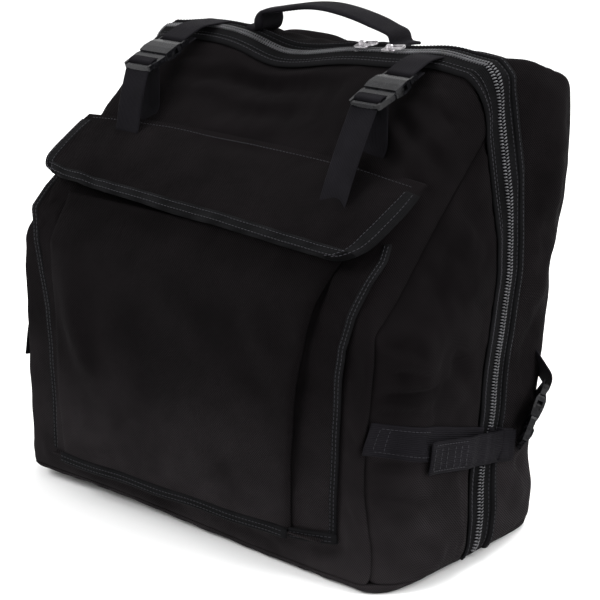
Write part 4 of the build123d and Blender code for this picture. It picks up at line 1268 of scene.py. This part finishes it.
def shoulder_line():
    """(points, widths, centres) down the middle of a padded strap, in metres."""
    points = bent_line(np.array(SHOULDER_PATH) * MM, [20 * MM, 46 * MM, 90 * MM], 3.0 * MM)
    low = smooth_step(140, 325, points[:, 2] / MM)
    return points, (61 + 31 * low) * MM, (168 - 44 * low) * MM


def make_shoulder_straps():
    """Padded straps with bound edges, and the narrow webbing that adjusts them."""
    points, widths, centres = shoulder_line()
    normal = unit(np.cross(X_AXIS, np.gradient(points, axis=0)))
    u = np.linspace(-1, 1, 33)
    from_end = np.minimum(np.arange(len(points)), np.arange(len(points))[::-1]) / 5
    swell = (1 - np.abs(u) ** 3.2) * np.clip(from_end, 0.35, 1)[:, None]
    for side, name in ((-1, "left"), (1, "right")):
        grid = grid_of(side * (centres[:, None] + u * widths[:, None] / 2), points[:, 1:2],
                       points[:, 2:])
        rise = noise_at(grid.reshape(-1, 3), 0.06, 21.0 + side) * 1.3 * MM
        grid += normal[:, None] * rise.reshape(grid.shape[:2])[:, :, None]
        strap = piece_from(slab(grid, (5.0 + 9.5 * swell) * MM), f"shoulder_padding_{name}",
                           "rear_shell", "strap_padding", "twill", f"shoulder_strap_{name}")
        rims = [slab(rim, 6.2 * MM) for rim in (grid[:, :3], grid[:, -3:])]
        threads = [sewn_row(grid[:, k], normal, 3.6 * MM) for k in (2, -3)]
        piece_from(rims, f"shoulder_binding_{name}", "rear_shell", "binding_tape", "binding")
        piece_from(threads, f"shoulder_stitching_{name}", "rear_shell", "binding_tape", "thread")
        foot = np.array([side * 168 * MM, 178 * MM, 150 * MM])
        tab = [foot + (WEB_DOWN * down + WEB_OUT * out) * MM for down, out in
               ((-14, 5.6), (6, WRAP_HEIGHT), (7.15, WRAP_HEIGHT), (7.15, -WRAP_HEIGHT),
                (-12, -5.4))]
        strap_piece(bent_line(tab, [4 * MM, 1 * MM, 2.5 * MM], 1.2 * MM), X_AXIS,
                    f"shoulder_tab_{name}_webbing", "rear_shell", f"shoulder_tab_{name}")
        lock = foot + (WEB_DOWN * (28.4 + INNER_SLOT) + WEB_OUT * WRAP_HEIGHT) * MM
        anchor = np.array([side * 168 * MM, 133 * MM, 40 * MM])
        web = [lock - WEB_OUT * 8 * MM, lock, (lock + anchor) / 2 + WEB_OUT * 5 * MM, anchor,
               anchor - UP * 14 * MM]
        strap_piece(bent_line(web, [2.5 * MM, 30 * MM, 6 * MM]), X_AXIS,
                    f"shoulder_lower_{name}_webbing", "rear_shell",
                    f"shoulder_webbing_{name}", (0.90, 0.97))


# ------------------------------------------------------------------ floor hinge, hardware
def make_hinge_strip():
    """The cloth the two floors fold on."""
    low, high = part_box("floor_hinge_strip")
    grid = grid_of(np.linspace(low[0], high[0], 60), np.linspace(low[1], high[1], 23)[:, None],
                   (low[2] + high[2]) / 2)
    strip = piece_from(slab(grid, high[2] - low[2]), "floor_hinge_cloth", None, "binding_tape",
                       "binding", "floor_hinge_strip")
    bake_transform(strip)


HARDWARE = {"acetal": ("male_clip", "female_clip", "ladder_lock"),
            "zinc": ("zip_slider", "zip_pull")}


def finish_hardware():
    """Buckles, locks, sliders and pulls keep their frame solids, with softened edges."""
    for name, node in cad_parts.items():
        for material, kinds in HARDWARE.items():
            if any(kind in name for kind in kinds):
                node.data.materials.clear()
                node.data.materials.append(MATERIALS[material])
                bevel = node.modifiers.new("edges", "BEVEL")
                bevel.width = (0.6 if material == "acetal" else 0.25) * MM
                bevel.segments = 3
                bevel.limit_method = "ANGLE"
                bevel.angle_limit = math.radians(35)
                bevel.harden_normals = True


def make_panels():
    """The padded panels, each swollen between its own seams."""
    mates = {
        "front_panel": ("side_panel_left", "side_panel_right", "bottom_panel"),
        "side_panel_left": ("front_panel", "bottom_panel"),
        "side_panel_right": ("front_panel", "bottom_panel"),
        "bottom_panel": ("front_panel", "side_panel_left", "side_panel_right"),
        "back_panel": ("rear_gusset", "rear_bottom_panel"),
        "rear_gusset": ("back_panel", "rear_bottom_panel"),
        "rear_bottom_panel": ("back_panel", "rear_gusset"),
    }
    for node, near in mates.items():
        body = "front_shell" if node in FRONT_PANELS else "rear_shell"
        padded_panel(node, body, near)


# ------------------------------------------------------------------ stage
def area_light(name, place, aim, size, power):
    data = bpy.data.lights.new(name, "AREA")
    data.shape = "RECTANGLE"
    data.size, data.size_y = size
    data.energy = power
    light = bpy.data.objects.new(name, data)
    light.location = place
    light.rotation_euler = (Vector(aim) - Vector(place)).to_track_quat("-Z", "Y").to_euler()
    bpy.context.scene.collection.objects.link(light)


def make_stage():
    """Pale floor, even studio light and the camera."""
    scene = bpy.context.scene
    floor_material = new_material("paper floor", colours().floor, 0.9)[0]
    bpy.ops.mesh.primitive_plane_add(size=30, location=(0, 0, 0))
    floor = bpy.context.object
    floor.name = "studio_floor"
    floor.data.materials.append(floor_material)
    world = bpy.data.worlds.new("studio")
    scene.world = world
    world.use_nodes = True
    tree = world.node_tree
    back = tree.nodes["Background"]
    back.inputs["Color"].default_value = (1, 1, 1, 1)
    seen = add_node(tree, "ShaderNodeLightPath").outputs["Is Camera Ray"]
    tree.links.new(ranged(tree, seen, 0.0, 1.0, 1.0, 1.1), back.inputs["Strength"])
    area_light("key", (-1.6, -2.4, 2.6), (0, 0, 0.25), (1.8, 1.5), 95)
    area_light("side", (2.6, 0.6, 1.9), (0.1, 0, 0.2), (1.5, 1.5), 60)
    area_light("top", (0.2, 0.9, 2.8), (0, 0, 0.4), (1.6, 1.6), 60)
    data = bpy.data.cameras.new("camera")
    data.lens = 126
    data.sensor_width = 36
    camera = bpy.data.objects.new("camera", data)
    camera.location = (1.4221, -1.6104, 0.8777)
    camera.rotation_euler = Vector((-0.6235, 0.7259, -0.2904)).to_track_quat("-Z", "Y").to_euler()
    scene.collection.objects.link(camera)
    scene.camera = camera
    scene.view_settings.view_transform = "Standard"
    scene.render.resolution_x = scene.render.resolution_y = 600
    scene.frame_end = 40


# ------------------------------------------------------------------ operators
def operator_for(name, label, build, words):
    """One operator class that builds one group of pieces."""

    def execute(self, context):
        if not MATERIALS:
            make_materials()
        build()
        return {"FINISHED"}

    return type(f"CASE_OT_{name}", (bpy.types.Operator,), {
        "bl_idname": f"accordion_case.{name}", "bl_label": label, "__doc__": words,
        "execute": execute})


STEPS = (
    operator_for("panels", "Padded panels", make_panels, "Swell the padded cloth panels"),
    operator_for("zip", "Zip", make_zip, "Lay the tapes, welts and coil of the zip"),
    operator_for("pocket", "Bellows pocket", make_pocket, "Sew the bellows pocket"),
    operator_for("flap", "Pocket flap", make_flap, "Hang the pocket's flap"),
    operator_for("straps", "Buckled straps", make_straps, "Thread the four buckled straps"),
    operator_for("handle", "Handle", make_handle, "Sew on the carrying handle"),
    operator_for("shoulder_straps", "Shoulder straps", make_shoulder_straps,
                 "Add the padded shoulder straps"),
    operator_for("hinge_strip", "Floor hinge", make_hinge_strip, "Join the floors with cloth"),
    operator_for("hardware", "Hardware", finish_hardware, "Finish the buckles and sliders"),
    operator_for("stage", "Stage", make_stage, "Set the floor, lights and camera"),
)


class CASE_PT_panel(bpy.types.Panel):
    """Sizes, colours and steps of the accordion case."""
    bl_label = "Accordion Case"
    bl_idname = "CASE_PT_panel"
    bl_space_type = "VIEW_3D"
    bl_region_type = "UI"
    bl_category = "Accordion Case"

    def draw(self, context):
        for group in (context.scene.case_sizes, context.scene.case_colours):
            column = self.layout.column(align=True)
            for key in group.bl_rna.properties.keys():
                if key not in ("rna_type", "name"):
                    column.prop(group, key)
        column = self.layout.column(align=True)
        for step in STEPS:
            column.operator(step.bl_idname)


CLASSES = (CaseSizes, CaseColours, *STEPS, CASE_PT_panel)


def register():
    for item in CLASSES:
        bpy.utils.register_class(item)
    bpy.types.Scene.case_sizes = PointerProperty(type=CaseSizes)
    bpy.types.Scene.case_colours = PointerProperty(type=CaseColours)


def unregister():
    del bpy.types.Scene.case_sizes, bpy.types.Scene.case_colours
    for item in reversed(CLASSES):
        bpy.utils.unregister_class(item)


def main():
    register()
    for step in STEPS:
        group, name = step.bl_idname.split(".")
        getattr(getattr(bpy.ops, group), name)()


if __name__ == "__main__":
    main()
